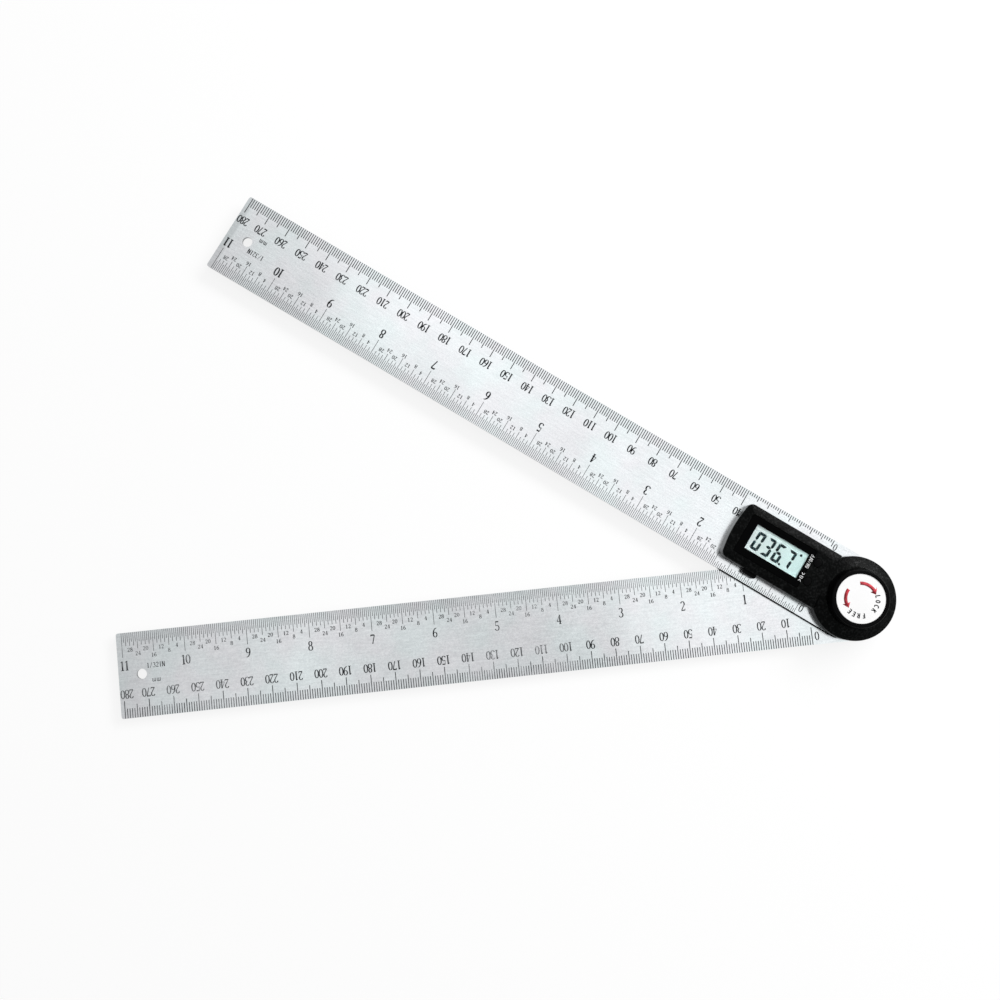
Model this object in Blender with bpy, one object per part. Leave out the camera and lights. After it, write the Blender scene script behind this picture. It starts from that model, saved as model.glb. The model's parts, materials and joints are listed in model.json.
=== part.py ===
"""Digital angle finder: two steel rule arms on one pivot, a display housing and a lock knob.

Metres, +Z up. The origin is on the pivot axis, at the underside of the back cap.
Both arms are modelled pointing along -X in the frame of their own pivot empty.
The lower arm's empty is unturned. The upper arm's empty is turned by the angle between the arms.
"""
import math

import bmesh
import bpy

MM = 0.001

# Angle between the arms at rest
ARM_ANGLE = math.radians(36.94)

# Rule blades
BLADE_REACH = 298.6 * MM
BLADE_WIDTH = 34.4 * MM
BLADE_THICKNESS = 1.2 * MM
BLADE_CORNER = 0.8 * MM
HANG_HOLE_RADIUS = 2.1 * MM
HANG_HOLE_INSET = 9.4 * MM

# Clearances
SEAT_GAP = 0.2 * MM
THIN_GAP = 0.1 * MM
CONTACT_GAP = 0.05 * MM
SIDE_GAP = 0.15 * MM
OVERRUN = 0.5 * MM

# Back cap and its screws
CAP_INSET = 1.7 * MM
CAP_THICKNESS = 1.6 * MM
CAP_CHAMFER = 0.4 * MM
CAP_FLOOR = 0.5 * MM
CAP_SCREW_COUNT = 3
SCREW_HEAD_RADIUS = 1.6 * MM
SCREW_HEAD_DEPTH = 0.8 * MM
SCREW_SHANK_RADIUS = 0.8 * MM
SCREW_CROSS_WIDTH = 0.35 * MM
SCREW_CROSS_LENGTH = 1.9 * MM
SCREW_CROSS_DEPTH = 0.4 * MM
SCREW_GRIP = 3.2 * MM

# Pivot stud, stepped outwards from its thread
STUD_THREAD_RADIUS = 2.5 * MM
STUD_SEAT_STEP = 0.7 * MM
STUD_BEARING_STEP = 0.8 * MM
STUD_NECK_STEP = 1.2 * MM
STUD_FLANGE_STEP = 2.3 * MM
STUD_TIP_CHAMFER = 0.4 * MM

# Washers
THRUST_WASHER_INSET = 0.9 * MM
THRUST_WASHER_THICKNESS = 0.3 * MM
KNOB_WASHER_RADIUS = 8.0 * MM
KNOB_WASHER_THICKNESS = 0.5 * MM

# Housing
BODY_LAP = 4.0 * MM
BODY_END_BAND = 3.45 * MM
BODY_BULGE = 0.9 * MM
BODY_CORNER = 2.6 * MM
BODY_EDGE = 0.5 * MM
WALL = 1.4 * MM
ROOF = 1.2 * MM
DRUM_INSET = 0.2 * MM
DRUM_WALL_HEIGHT = 4.0 * MM
DRUM_CONE_RUN = 4.4 * MM
DRUM_STEP = 0.3 * MM
DRUM_SCREW_TURN = math.radians(45)
TROUGH_INSET = 0.3 * MM
BOSS_RADIUS = 1.8 * MM
POST_RADIUS = 0.8 * MM
POST_HEAD_RADIUS = 1.3 * MM
POST_HEAD_DEPTH = 0.3 * MM
NEAR_POST_INSET = 1.1 * MM
POST_EDGE = 2.0 * MM

# Display
WINDOW_LAP = 1.5 * MM
WINDOW_LAP_ACROSS = 2.0 * MM
WINDOW_THICKNESS = 0.6 * MM
WINDOW_CORNER = 0.8 * MM
LCD_LENGTH = 26.4 * MM
LCD_WIDTH = 13.0 * MM
LCD_THICKNESS = 1.0 * MM
LCD_STEP = 0.8 * MM
STRIP_WIDTH = 1.0 * MM
STRIP_HEIGHT = 0.4 * MM
CHIP_RADIUS = 3.2 * MM
CHIP_HEIGHT = 0.35 * MM

# Circuit board and encoder
BOARD_THICKNESS = 0.6 * MM
BOARD_END_GAP = 1.6 * MM
ROTOR_THICKNESS = 0.6 * MM

# Buttons
BUTTON_WINDOW_GAP = 0.55 * MM
BUTTON_SPREAD = 8.6 * MM
BUTTON_RADIUS = 1.7 * MM
BUTTON_STANDS_OUT = 0.35 * MM
BUTTON_FLANGE = 0.45 * MM
BUTTON_FLANGE_THICKNESS = 0.3 * MM
BUTTON_EDGE = 0.2 * MM
DOME_RADIUS = 2.1 * MM
DOME_HEIGHT = 0.3 * MM

# Battery and its drawer
COIN_RADIUS = 10.0 * MM
COIN_THICKNESS = 3.2 * MM
COIN_RIM = 1.1 * MM
COIN_STEP = 0.3 * MM
DRAWER_FLOOR = 0.3 * MM
DRAWER_WALL = 0.75 * MM
DRAWER_WALL_HEIGHT = 2.4 * MM
DRAWER_BACK_GAP = 0.5 * MM
DRAWER_END_GAP = 2.8 * MM
DRAWER_NOTCH = 6.8 * MM
TAB_WIDTH = 6.0 * MM
TAB_REACH = 1.6 * MM
TAB_HEIGHT = 2.2 * MM
TAB_CORNER = 0.6 * MM
LEAF_THICKNESS = 0.15 * MM
LEAF_WIDTH = 3.0 * MM
LEAF_LENGTH = 13.0 * MM
CLIP_WIDTH = 5.0 * MM
CLIP_LAP = 0.7 * MM

# Lock knob
KNOB_MARGIN = 0.6 * MM
KNOB_SKIRT = 0.5 * MM
KNOB_HEIGHT = 5.1 * MM
KNOB_ROUND = 0.6 * MM
KNOB_FOOT_CHAMFER = 0.3 * MM
KNOB_CEILING = 0.5 * MM
LABEL_RIM = 1.7 * MM
LABEL_THICKNESS = 0.25 * MM
LABEL_RECESS = 0.6 * MM
INSERT_WALL = 1.4 * MM

# Facets round a full circle
FINE_STEPS = 60
ROUND_STEPS = 32
SMALL_STEPS = 16

# Shares of the pieces that carry them
FAR_BOSS_LIFT_SHARE = 0.815
CAVITY_CORNER_SHARE = 0.46
CHIP_SHOULDER_SHARE = 0.8

# Heights of the stack, from the rest plane up
CAP_TOP = CAP_THICKNESS
LOWER_BOTTOM = CAP_TOP + SEAT_GAP
LOWER_TOP = LOWER_BOTTOM + BLADE_THICKNESS
THRUST_BOTTOM = LOWER_TOP + THIN_GAP
THRUST_TOP = THRUST_BOTTOM + THRUST_WASHER_THICKNESS
UPPER_BOTTOM = THRUST_TOP + THIN_GAP
UPPER_TOP = UPPER_BOTTOM + BLADE_THICKNESS
SHELL_BOTTOM = UPPER_TOP + SEAT_GAP
DRAWER_BOTTOM = UPPER_TOP + SIDE_GAP
COIN_BOTTOM = DRAWER_BOTTOM + DRAWER_FLOOR + CONTACT_GAP
COIN_TOP = COIN_BOTTOM + COIN_THICKNESS
LEAF_BOTTOM = COIN_TOP + CONTACT_GAP
LEAF_TOP = LEAF_BOTTOM + LEAF_THICKNESS
BOARD_BOTTOM = LEAF_TOP + THIN_GAP
BOARD_TOP = BOARD_BOTTOM + BOARD_THICKNESS
STRIP_BOTTOM = BOARD_TOP + CONTACT_GAP
LCD_BOTTOM = STRIP_BOTTOM + STRIP_HEIGHT + CONTACT_GAP
LCD_TOP = LCD_BOTTOM + LCD_THICKNESS
WINDOW_BOTTOM = LCD_TOP + THIN_GAP
WINDOW_TOP = WINDOW_BOTTOM + WINDOW_THICKNESS
FACE = WINDOW_TOP + THIN_GAP
CEILING = FACE - ROOF
TROUGH = BOARD_TOP + THIN_GAP + ROOF
DRUM_SHOULDER = SHELL_BOTTOM + DRUM_WALL_HEIGHT
DRUM_TOP = FACE - DRUM_STEP
DRUM_CEILING = DRUM_TOP - ROOF
ROTOR_TOP = BOARD_BOTTOM - THIN_GAP
ROTOR_BOTTOM = ROTOR_TOP - ROTOR_THICKNESS
KNOB_BOTTOM = DRUM_TOP + SEAT_GAP
KNOB_TOP = KNOB_BOTTOM + KNOB_HEIGHT
LABEL_FLOOR = KNOB_TOP - LABEL_RECESS
SOCKET_TOP = LABEL_FLOOR - KNOB_CEILING
KNOB_WASHER_BOTTOM = DRUM_TOP + THIN_GAP
KNOB_WASHER_TOP = KNOB_WASHER_BOTTOM + KNOB_WASHER_THICKNESS
INSERT_BOTTOM = KNOB_WASHER_TOP + SEAT_GAP
STUD_TIP = SOCKET_TOP - SEAT_GAP

# Round the pivot, from the blades inwards
CAP_RADIUS = BLADE_WIDTH / 2 - CAP_INSET
THRUST_WASHER_RADIUS = CAP_RADIUS - THRUST_WASHER_INSET
STUD_SEAT_RADIUS = STUD_THREAD_RADIUS + STUD_SEAT_STEP
STUD_BEARING_RADIUS = STUD_SEAT_RADIUS + STUD_BEARING_STEP
STUD_NECK_RADIUS = STUD_BEARING_RADIUS + STUD_NECK_STEP
STUD_FLANGE_RADIUS = STUD_NECK_RADIUS + STUD_FLANGE_STEP
CAP_SCREW_CIRCLE = (CAP_RADIUS + STUD_FLANGE_RADIUS) / 2
DRUM_RADIUS = BLADE_WIDTH / 2 - DRUM_INSET
DRUM_BORE = DRUM_RADIUS - WALL
DRUM_CONE_RADIUS = DRUM_RADIUS - DRUM_CONE_RUN
TROUGH_RADIUS = DRUM_RADIUS - TROUGH_INSET
BOARD_ROUND = DRUM_CONE_RADIUS - WALL / 2
DRUM_BOSS_RADIUS = BOARD_ROUND + BOSS_RADIUS + 2 * THIN_GAP
KNOB_RADIUS = DRUM_CONE_RADIUS - KNOB_MARGIN - KNOB_SKIRT
LABEL_RADIUS = KNOB_RADIUS - LABEL_RIM
INSERT_RADIUS = STUD_THREAD_RADIUS + THIN_GAP + INSERT_WALL
SCREW_HOLE_RADIUS = SCREW_SHANK_RADIUS + THIN_GAP

# Along the upper arm, from the drum outwards
BODY_NEAR = DRUM_RADIUS - BODY_LAP
BAY_NEAR = TROUGH_RADIUS + WALL
BUTTON_REACH = BAY_NEAR + BUTTON_RADIUS + BUTTON_FLANGE + CONTACT_GAP
WINDOW_LENGTH = LCD_LENGTH + 2 * WINDOW_LAP
WINDOW_WIDTH = LCD_WIDTH + 2 * WINDOW_LAP_ACROSS
DISPLAY_CENTRE = BUTTON_REACH + BUTTON_RADIUS + BUTTON_WINDOW_GAP + WINDOW_LENGTH / 2
BODY_FAR = DISPLAY_CENTRE + WINDOW_LENGTH / 2 + BODY_END_BAND
BAY_FAR = BODY_FAR - WALL / 2
BOARD_FAR = BAY_FAR - BOARD_END_GAP
DRAWER_RADIUS = COIN_RADIUS + SIDE_GAP + DRAWER_WALL
SLOT_HALF = DRAWER_RADIUS + 2 * THIN_GAP
COIN_REACH = BAY_FAR - DRAWER_RADIUS - DRAWER_END_GAP
NEAR_POST_REACH = TROUGH_RADIUS - NEAR_POST_INSET
FAR_POST_REACH = DISPLAY_CENTRE + (LCD_LENGTH + WINDOW_LENGTH) / 4 + THIN_GAP
MID_BOSS_REACH = COIN_REACH - SLOT_HALF - 2 * THIN_GAP - BOSS_RADIUS - SEAT_GAP
FAR_BOSS_REACH = BAY_FAR - 2 * THIN_GAP - BOSS_RADIUS
FREE_ARM_START = BODY_FAR + BODY_BULGE + BODY_CORNER

# Across the upper arm: the bay is as wide as the drawer needs
DRAWER_CLEARANCE = 2 * THIN_GAP + SIDE_GAP + DRAWER_WALL + DRAWER_BACK_GAP
BODY_BORE = COIN_RADIUS + DRAWER_CLEARANCE / 2
BODY_HALF = BODY_BORE + WALL
COIN_ACROSS = COIN_RADIUS + 2 * THIN_GAP - BODY_BORE
BOARD_HALF = LCD_WIDTH / 2 + THIN_GAP
POST_SPREAD = BOARD_HALF - POST_EDGE
BOSS_ACROSS = BOARD_HALF + 2 * THIN_GAP + BOSS_RADIUS
SLOT_TOP = LEAF_TOP


def clear_scene():
    for piece in list(bpy.data.objects):
        bpy.data.objects.remove(piece, do_unlink=True)


def finish(name, colour, roughness, metallic=0.0, alpha=1.0):
    """A plain material: colour, roughness and metallic value of the piece."""
    look = bpy.data.materials.new(name)
    look.use_nodes = True
    shader = look.node_tree.nodes["Principled BSDF"]
    shader.inputs["Base Color"].default_value = (*colour, 1.0)
    shader.inputs["Roughness"].default_value = roughness
    shader.inputs["Metallic"].default_value = metallic
    shader.inputs["Alpha"].default_value = alpha
    return look


def blade_steel():
    return finish("satin_stainless_steel", (0.74, 0.75, 0.75), 0.34, 1.0)


def screw_steel():
    return finish("plated_steel", (0.55, 0.56, 0.57), 0.3, 1.0)


def grained_black():
    return finish("grained_black_plastic", (0.022, 0.023, 0.025), 0.55)


def smooth_black():
    return finish("smooth_black_plastic", (0.012, 0.012, 0.013), 0.28)


def white_card():
    return finish("white_label_film", (0.88, 0.88, 0.88), 0.4)


def nylon():
    return finish("natural_nylon", (0.8, 0.78, 0.72), 0.5)


def clear_acrylic():
    return finish("clear_acrylic", (0.9, 0.92, 0.92), 0.05, 0.0, 0.3)


def lcd_grey():
    return finish("pale_mint_display", (0.6, 0.69, 0.66), 0.3)


def board_green():
    return finish("green_board", (0.02, 0.13, 0.06), 0.45)


def rotor_copper():
    return finish("tinned_copper_disc", (0.62, 0.46, 0.28), 0.4, 1.0)


def black_epoxy():
    return finish("black_epoxy", (0.02, 0.02, 0.02), 0.4)


def grey_rubber():
    return finish("conductive_rubber", (0.3, 0.31, 0.32), 0.8)


def brass():
    return finish("brass", (0.72, 0.52, 0.22), 0.3, 1.0)


def spring_plate():
    return finish("nickel_spring_plate", (0.7, 0.69, 0.65), 0.28, 1.0)


def frame_empty(name, turn=0.0):
    """The pivot frame that the pieces of one arm are placed in."""
    empty = bpy.data.objects.new(name, None)
    empty.rotation_euler = (0, 0, turn)
    bpy.context.scene.collection.objects.link(empty)
    return empty


def place_mesh(name, bm, carrier, place):
    """Closed mesh with its faces turned outward, put at a place in its carrier's frame."""
    bmesh.ops.recalc_face_normals(bm, faces=bm.faces)
    mesh = bpy.data.meshes.new(name)
    bm.to_mesh(mesh)
    bm.free()
    piece = bpy.data.objects.new(name, mesh)
    bpy.context.scene.collection.objects.link(piece)
    piece.parent = carrier
    piece.location = place
    return piece


def solid(name, bm, look, carrier, place=(0, 0, 0)):
    """A piece of the tool, shaded smooth but for its sharp edges."""
    piece = place_mesh(name, bm, carrier, place)
    piece.data.materials.append(look)
    piece.data.shade_smooth()
    piece.data.set_sharp_from_angle(angle=math.radians(30))
    return piece


def shape_with(piece, operation, bm, place=(0, 0, 0)):
    """Unites a shape with the piece, or cuts it away, with a hidden wire guide."""
    label = f"{piece.name}_guide_{len(piece.modifiers)}"
    guide = place_mesh(label, bm, piece.parent, place)
    guide.hide_render = True
    guide.display_type = "WIRE"
    change = piece.modifiers.new(label, "BOOLEAN")
    change.operation = operation
    change.solver = "EXACT"
    change.object = guide


def gather(shapes):
    """Several separate shapes in one mesh. Each entry is a mesh and its place."""
    whole = bmesh.new()
    for shape, place in shapes:
        bmesh.ops.translate(shape, vec=place, verts=shape.verts)
        bmesh.ops.recalc_face_normals(shape, faces=shape.faces)
        carry = bpy.data.meshes.new("carry")
        shape.to_mesh(carry)
        shape.free()
        whole.from_mesh(carry)
        bpy.data.meshes.remove(carry)
    return whole


def plate(outline, bottom, top):
    """An outline in the XY plane, extruded from one height to another."""
    bm = bmesh.new()
    floor = bm.faces.new([bm.verts.new((x, y, bottom)) for x, y in outline])
    lift = bmesh.ops.extrude_face_region(bm, geom=[floor])
    raised = [item for item in lift["geom"] if isinstance(item, bmesh.types.BMVert)]
    bmesh.ops.translate(bm, vec=(0, 0, top - bottom), verts=raised)
    return bm


def turned(profile, steps):
    """A profile of radius and height pairs, spun once round the Z axis.

    A profile that starts and ends on the axis is left open there, any other is closed.
    """
    bm = bmesh.new()
    ring = [bm.verts.new((radius, 0, height)) for radius, height in profile]
    pairs = list(zip(ring, ring[1:]))
    if profile[0][0] > 0:
        pairs.append((ring[-1], ring[0]))
    edges = [bm.edges.new(pair) for pair in pairs]
    bmesh.ops.spin(bm, geom=ring + edges, cent=(0, 0, 0), axis=(0, 0, 1),
                   angle=math.tau, steps=steps, use_merge=True)
    bmesh.ops.remove_doubles(bm, verts=bm.verts, dist=MM / 1000)
    return bm


def disc(radius, bottom, top, steps=SMALL_STEPS):
    return turned([(0, bottom), (radius, bottom), (radius, top), (0, top)], steps)


def ring_plate(inner, outer, bottom, top, steps=ROUND_STEPS):
    return turned([(inner, bottom), (outer, bottom), (outer, top), (inner, top)], steps)


def arc(centre, radius, start, end, steps):
    """Points on an arc, from one angle in degrees to another, both included."""
    turns = [math.radians(start + (end - start) * k / steps) for k in range(steps + 1)]
    return [(centre[0] + radius * math.cos(t), centre[1] + radius * math.sin(t)) for t in turns]


def rounded_box(length, width, corner, steps=4):
    """Outline of a rectangle with round corners, centred on the origin."""
    half_x = length / 2 - corner
    half_y = width / 2 - corner
    points = []
    for quarter, (side_x, side_y) in enumerate(((1, 1), (-1, 1), (-1, -1), (1, -1))):
        start = 90 * quarter
        points += arc((side_x * half_x, side_y * half_y), corner, start, start + 90, steps)
    return points


def double_d(radius, half_flat, steps=10):
    """A circle with two flats, above and below the X axis."""
    lean = math.degrees(math.asin(half_flat / radius))
    near = arc((0, 0), radius, -lean, lean, steps)
    return near + arc((0, 0), radius, 180 - lean, 180 + lean, steps)


def blade_outline():
    """A rule arm: a half circle round the pivot and a square far end with eased corners."""
    half = BLADE_WIDTH / 2
    inner_x = BLADE_CORNER - BLADE_REACH
    inner_y = half - BLADE_CORNER
    return (arc((0, 0), half, -90, 90, FINE_STEPS // 2)
            + arc((inner_x, inner_y), BLADE_CORNER, 90, 180, 3)
            + arc((inner_x, -inner_y), BLADE_CORNER, 180, 270, 3))


def bay_outline(near, far, half, corner, bulge, steps=6):
    """The display body seen from above: square near end, round corners, slightly bowed far end."""
    rise = half - corner
    bow_radius = (rise * rise + bulge * bulge) / (2 * bulge)
    lean = math.degrees(math.asin(rise / bow_radius))
    bow_centre = (bow_radius - far - bulge, 0)
    corner_x = corner - far
    top_corner = arc((corner_x, rise), corner, 90, 180 - lean, steps)
    low_corner = arc((corner_x, -rise), corner, 180 + lean, 270, steps)
    bow = arc(bow_centre, bow_radius, 180 - lean, 180 + lean, 2 * steps)
    return [(-near, -half), (-near, half)] + top_corner + bow[1:-1] + low_corner


def screw_profile(slack=0.0, length=SCREW_GRIP):
    """Half profile of a countersunk screw whose head is flush at height zero and points down."""
    head = SCREW_HEAD_RADIUS + slack
    shank = SCREW_SHANK_RADIUS + slack
    return [(0, -slack), (head, -slack), (head, SCREW_HEAD_DEPTH / 4),
            (shank, SCREW_HEAD_DEPTH), (shank, length), (0, length)]


def countersunk_screw(name, look, carrier, place, length):
    """Small countersunk screw with a cross recess in its head."""
    screw = solid(name, turned(screw_profile(0, length), SMALL_STEPS), look, carrier, place)
    bar = (SCREW_CROSS_LENGTH, SCREW_CROSS_WIDTH)
    for length_x, width_y in (bar, bar[::-1]):
        outline = rounded_box(length_x, width_y, SCREW_CROSS_WIDTH / 4, 1)
        slot = plate(outline, -OVERRUN, SCREW_CROSS_DEPTH)
        shape_with(screw, "DIFFERENCE", slot, place)
    return screw


def polar(radius, angle):
    return (radius * math.cos(angle), radius * math.sin(angle))


def cap_screw_places():
    """Three places on the back cap's screw circle, the first across the blade."""
    return [polar(CAP_SCREW_CIRCLE, math.pi / 2 + math.tau * k / CAP_SCREW_COUNT)
            for k in range(CAP_SCREW_COUNT)]


def housing_screw_places():
    """Two screws in the drum's open side, two beside the display, one in the far corner."""
    drum = [polar(DRUM_BOSS_RADIUS, side * DRUM_SCREW_TURN) for side in (1, -1)]
    beside = [(-MID_BOSS_REACH, side * BOSS_ACROSS) for side in (1, -1)]
    return drum + beside + [(-FAR_BOSS_REACH, BODY_BORE * FAR_BOSS_LIFT_SHARE)]


def post_places():
    """Four moulded posts that hold the circuit board."""
    return [(-reach, side * POST_SPREAD)
            for reach in (NEAR_POST_REACH, FAR_POST_REACH) for side in (1, -1)]


def button_places():
    return [(-BUTTON_REACH, side * BUTTON_SPREAD / 2) for side in (1, -1)]


def blade_plate(bottom, top):
    """A blade's plate, with its flat faces divided where the housing ends and the free arm starts."""
    bm = plate(blade_outline(), bottom, top)
    bmesh.ops.bisect_plane(bm, geom=bm.verts[:] + bm.edges[:] + bm.faces[:],
                           plane_co=(-FREE_ARM_START, 0, 0), plane_no=(1, 0, 0))
    return bm


def hang_hole_cutter(bottom, top):
    return disc(HANG_HOLE_RADIUS, bottom - OVERRUN, top + OVERRUN)


def hang_hole_place():
    return (HANG_HOLE_INSET - BLADE_REACH, 0, 0)


def make_back_cap(carrier):
    """Round cap under the pivot, closed in the middle, with a pocket for the stud's flange."""
    profile = [(0, 0), (CAP_RADIUS - CAP_CHAMFER, 0), (CAP_RADIUS, CAP_CHAMFER),
               (CAP_RADIUS, CAP_TOP), (STUD_FLANGE_RADIUS + SEAT_GAP, CAP_TOP),
               (STUD_FLANGE_RADIUS + SEAT_GAP, CAP_FLOOR), (0, CAP_FLOOR)]
    cap = solid("back_cap", turned(profile, FINE_STEPS), grained_black(), carrier)
    holes = [(turned(screw_profile(THIN_GAP, CAP_TOP + OVERRUN), SMALL_STEPS), (*spot, 0))
             for spot in cap_screw_places()]
    shape_with(cap, "DIFFERENCE", gather(holes))
    return cap


def make_cap_screws(carrier):
    look = screw_steel()
    length = LOWER_TOP - 2 * CONTACT_GAP
    for k, spot in enumerate(cap_screw_places(), 1):
        countersunk_screw(f"cap_screw_{k}", look, carrier, (*spot, CONTACT_GAP), length)


def make_lower_blade(carrier):
    """Lower rule arm, keyed to the stud by a hole with two flats."""
    blade = solid("lower_blade", blade_plate(LOWER_BOTTOM, LOWER_TOP), blade_steel(), carrier)
    low = LOWER_BOTTOM - OVERRUN
    high = LOWER_TOP + OVERRUN
    flat = STUD_BEARING_RADIUS + 2 * THIN_GAP
    cuts = [(plate(double_d(STUD_NECK_RADIUS + THIN_GAP, flat), low, high), (0, 0, 0)),
            (hang_hole_cutter(LOWER_BOTTOM, LOWER_TOP), hang_hole_place())]
    cuts += [(disc(SCREW_HOLE_RADIUS, low, high), (*spot, 0)) for spot in cap_screw_places()]
    shape_with(blade, "DIFFERENCE", gather(cuts))
    return blade


def make_pivot_stud(carrier):
    """Flanged stud: keyed neck in the blade, round bearing, keyed rotor seat and threaded end."""
    flange_bottom = CAP_FLOOR + THIN_GAP
    bearing_top = ROTOR_BOTTOM - THIN_GAP
    profile = [(0, flange_bottom), (STUD_FLANGE_RADIUS, flange_bottom), (STUD_FLANGE_RADIUS, CAP_TOP),
               (STUD_BEARING_RADIUS, CAP_TOP), (STUD_BEARING_RADIUS, bearing_top),
               (STUD_THREAD_RADIUS, bearing_top), (STUD_THREAD_RADIUS, STUD_TIP - STUD_TIP_CHAMFER),
               (STUD_THREAD_RADIUS - STUD_TIP_CHAMFER, STUD_TIP), (0, STUD_TIP)]
    stud = solid("pivot_stud", turned(profile, ROUND_STEPS), screw_steel(), carrier)
    neck = double_d(STUD_NECK_RADIUS, STUD_BEARING_RADIUS + THIN_GAP)
    shape_with(stud, "UNION", plate(neck, CAP_TOP - OVERRUN, LOWER_TOP))
    seat = double_d(STUD_SEAT_RADIUS, STUD_THREAD_RADIUS + THIN_GAP)
    shape_with(stud, "UNION", plate(seat, ROTOR_BOTTOM - OVERRUN, BOARD_BOTTOM))
    return stud


def make_thrust_washer(carrier):
    washer = ring_plate(STUD_NECK_RADIUS, THRUST_WASHER_RADIUS, THRUST_BOTTOM, THRUST_TOP, FINE_STEPS)
    return solid("thrust_washer", washer, nylon(), carrier)


def make_encoder_rotor(carrier):
    """Patterned disc of the angle encoder, keyed to the stud just under the board."""
    blank = disc(BOARD_ROUND - 2 * THIN_GAP, ROTOR_BOTTOM, ROTOR_TOP, FINE_STEPS)
    rotor = solid("encoder_rotor", blank, rotor_copper(), carrier)
    hole = double_d(STUD_SEAT_RADIUS + THIN_GAP, STUD_THREAD_RADIUS + 2 * THIN_GAP)
    shape_with(rotor, "DIFFERENCE", plate(hole, ROTOR_BOTTOM - OVERRUN, ROTOR_TOP + OVERRUN))
    return rotor


def make_upper_blade(carrier):
    """Upper rule arm, running on the stud, with countersunk holes for the housing's screws."""
    blade = solid("upper_blade", blade_plate(UPPER_BOTTOM, UPPER_TOP), blade_steel(), carrier)
    bore = STUD_BEARING_RADIUS + THIN_GAP
    pivot = disc(bore, UPPER_BOTTOM - OVERRUN, UPPER_TOP + OVERRUN, ROUND_STEPS)
    cuts = [(pivot, (0, 0, 0)), (hang_hole_cutter(UPPER_BOTTOM, UPPER_TOP), hang_hole_place())]
    for spot in housing_screw_places():
        hole = turned(screw_profile(THIN_GAP, UPPER_TOP - UPPER_BOTTOM + OVERRUN), SMALL_STEPS)
        cuts.append((hole, (*spot, UPPER_BOTTOM)))
    shape_with(blade, "DIFFERENCE", gather(cuts))
    return blade


def make_housing_screws(carrier):
    look = screw_steel()
    head = UPPER_BOTTOM + CONTACT_GAP
    for k, spot in enumerate(housing_screw_places(), 1):
        countersunk_screw(f"housing_screw_{k}", look, carrier, (*spot, head), SCREW_GRIP)


def body_block():
    """Outer block of the display body, with its top edge rounded over."""
    outline = bay_outline(BODY_NEAR, BODY_FAR, BODY_HALF, BODY_CORNER, BODY_BULGE)
    bm = plate(outline, SHELL_BOTTOM, FACE)
    middle = (SHELL_BOTTOM + FACE) / 2
    rim = [edge for edge in bm.edges if all(vert.co.z > middle for vert in edge.verts)]
    bmesh.ops.bevel(bm, geom=rim, offset=BODY_EDGE, offset_type="OFFSET", segments=3,
                    profile=0.5, affect="EDGES", clamp_overlap=True)
    return bm


def drum_block():
    """Outer form of the drum: upright wall, then a cone up to the flat round the knob."""
    profile = [(0, SHELL_BOTTOM), (DRUM_RADIUS, SHELL_BOTTOM), (DRUM_RADIUS, DRUM_SHOULDER),
               (DRUM_CONE_RADIUS, DRUM_TOP), (0, DRUM_TOP)]
    return turned(profile, FINE_STEPS)


def drum_cavity():
    """Inside of the drum, one wall in from its outer form, open below."""
    low = SHELL_BOTTOM - OVERRUN
    profile = [(0, low), (DRUM_BORE, low), (DRUM_BORE, DRUM_SHOULDER - WALL / 2),
               (DRUM_CONE_RADIUS - WALL / 3, DRUM_CEILING), (0, DRUM_CEILING)]
    return turned(profile, FINE_STEPS)


def boxed(x_range, y_range, z_range):
    """A plain box between three pairs of limits."""
    outline = [(x_range[0], y_range[0]), (x_range[1], y_range[0]),
               (x_range[1], y_range[1]), (x_range[0], y_range[1])]
    return plate(outline, *z_range)


def boss_and_post_shapes():
    """Screw bosses that stand on the blade, and posts with melted heads under the board."""
    shapes = []
    for k, spot in enumerate(housing_screw_places()):
        top = DRUM_SHOULDER if k < 2 else CEILING + SEAT_GAP
        shapes.append((disc(BOSS_RADIUS, SHELL_BOTTOM, top), (*spot, 0)))
    head_top = BOARD_BOTTOM - THIN_GAP
    head_bottom = head_top - POST_HEAD_DEPTH
    for spot in post_places():
        root = (TROUGH if -spot[0] < BAY_NEAR else CEILING + 2 * SEAT_GAP) - SEAT_GAP
        post = [(0, head_bottom), (POST_HEAD_RADIUS - POST_HEAD_DEPTH, head_bottom),
                (POST_HEAD_RADIUS, head_top), (POST_RADIUS, head_top), (POST_RADIUS, root), (0, root)]
        shapes.append((turned(post, SMALL_STEPS), (*spot, 0)))
    return shapes


def housing_holes():
    """Pilot holes, button holes, drawer slot and the hole for the stud."""
    low = SHELL_BOTTOM - OVERRUN
    high = FACE + OVERRUN
    pilot_top = UPPER_BOTTOM + SCREW_GRIP + SEAT_GAP
    slot = boxed((-COIN_REACH - SLOT_HALF, -COIN_REACH + SLOT_HALF),
                 (-BODY_HALF - OVERRUN, -BODY_BORE + OVERRUN), (low, SLOT_TOP))
    thread_hole = STUD_THREAD_RADIUS + 2 * THIN_GAP
    stud_hole = disc(thread_hole, DRUM_CEILING - OVERRUN, high, ROUND_STEPS)
    button_hole = BUTTON_RADIUS + 2 * THIN_GAP
    cuts = [(slot, (0, 0, 0)), (stud_hole, (0, 0, 0))]
    cuts += [(disc(SCREW_HOLE_RADIUS, low, pilot_top), (*spot, 0)) for spot in housing_screw_places()]
    cuts += [(disc(button_hole, CEILING - OVERRUN, high), (*spot, 0)) for spot in button_places()]
    return cuts


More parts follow.
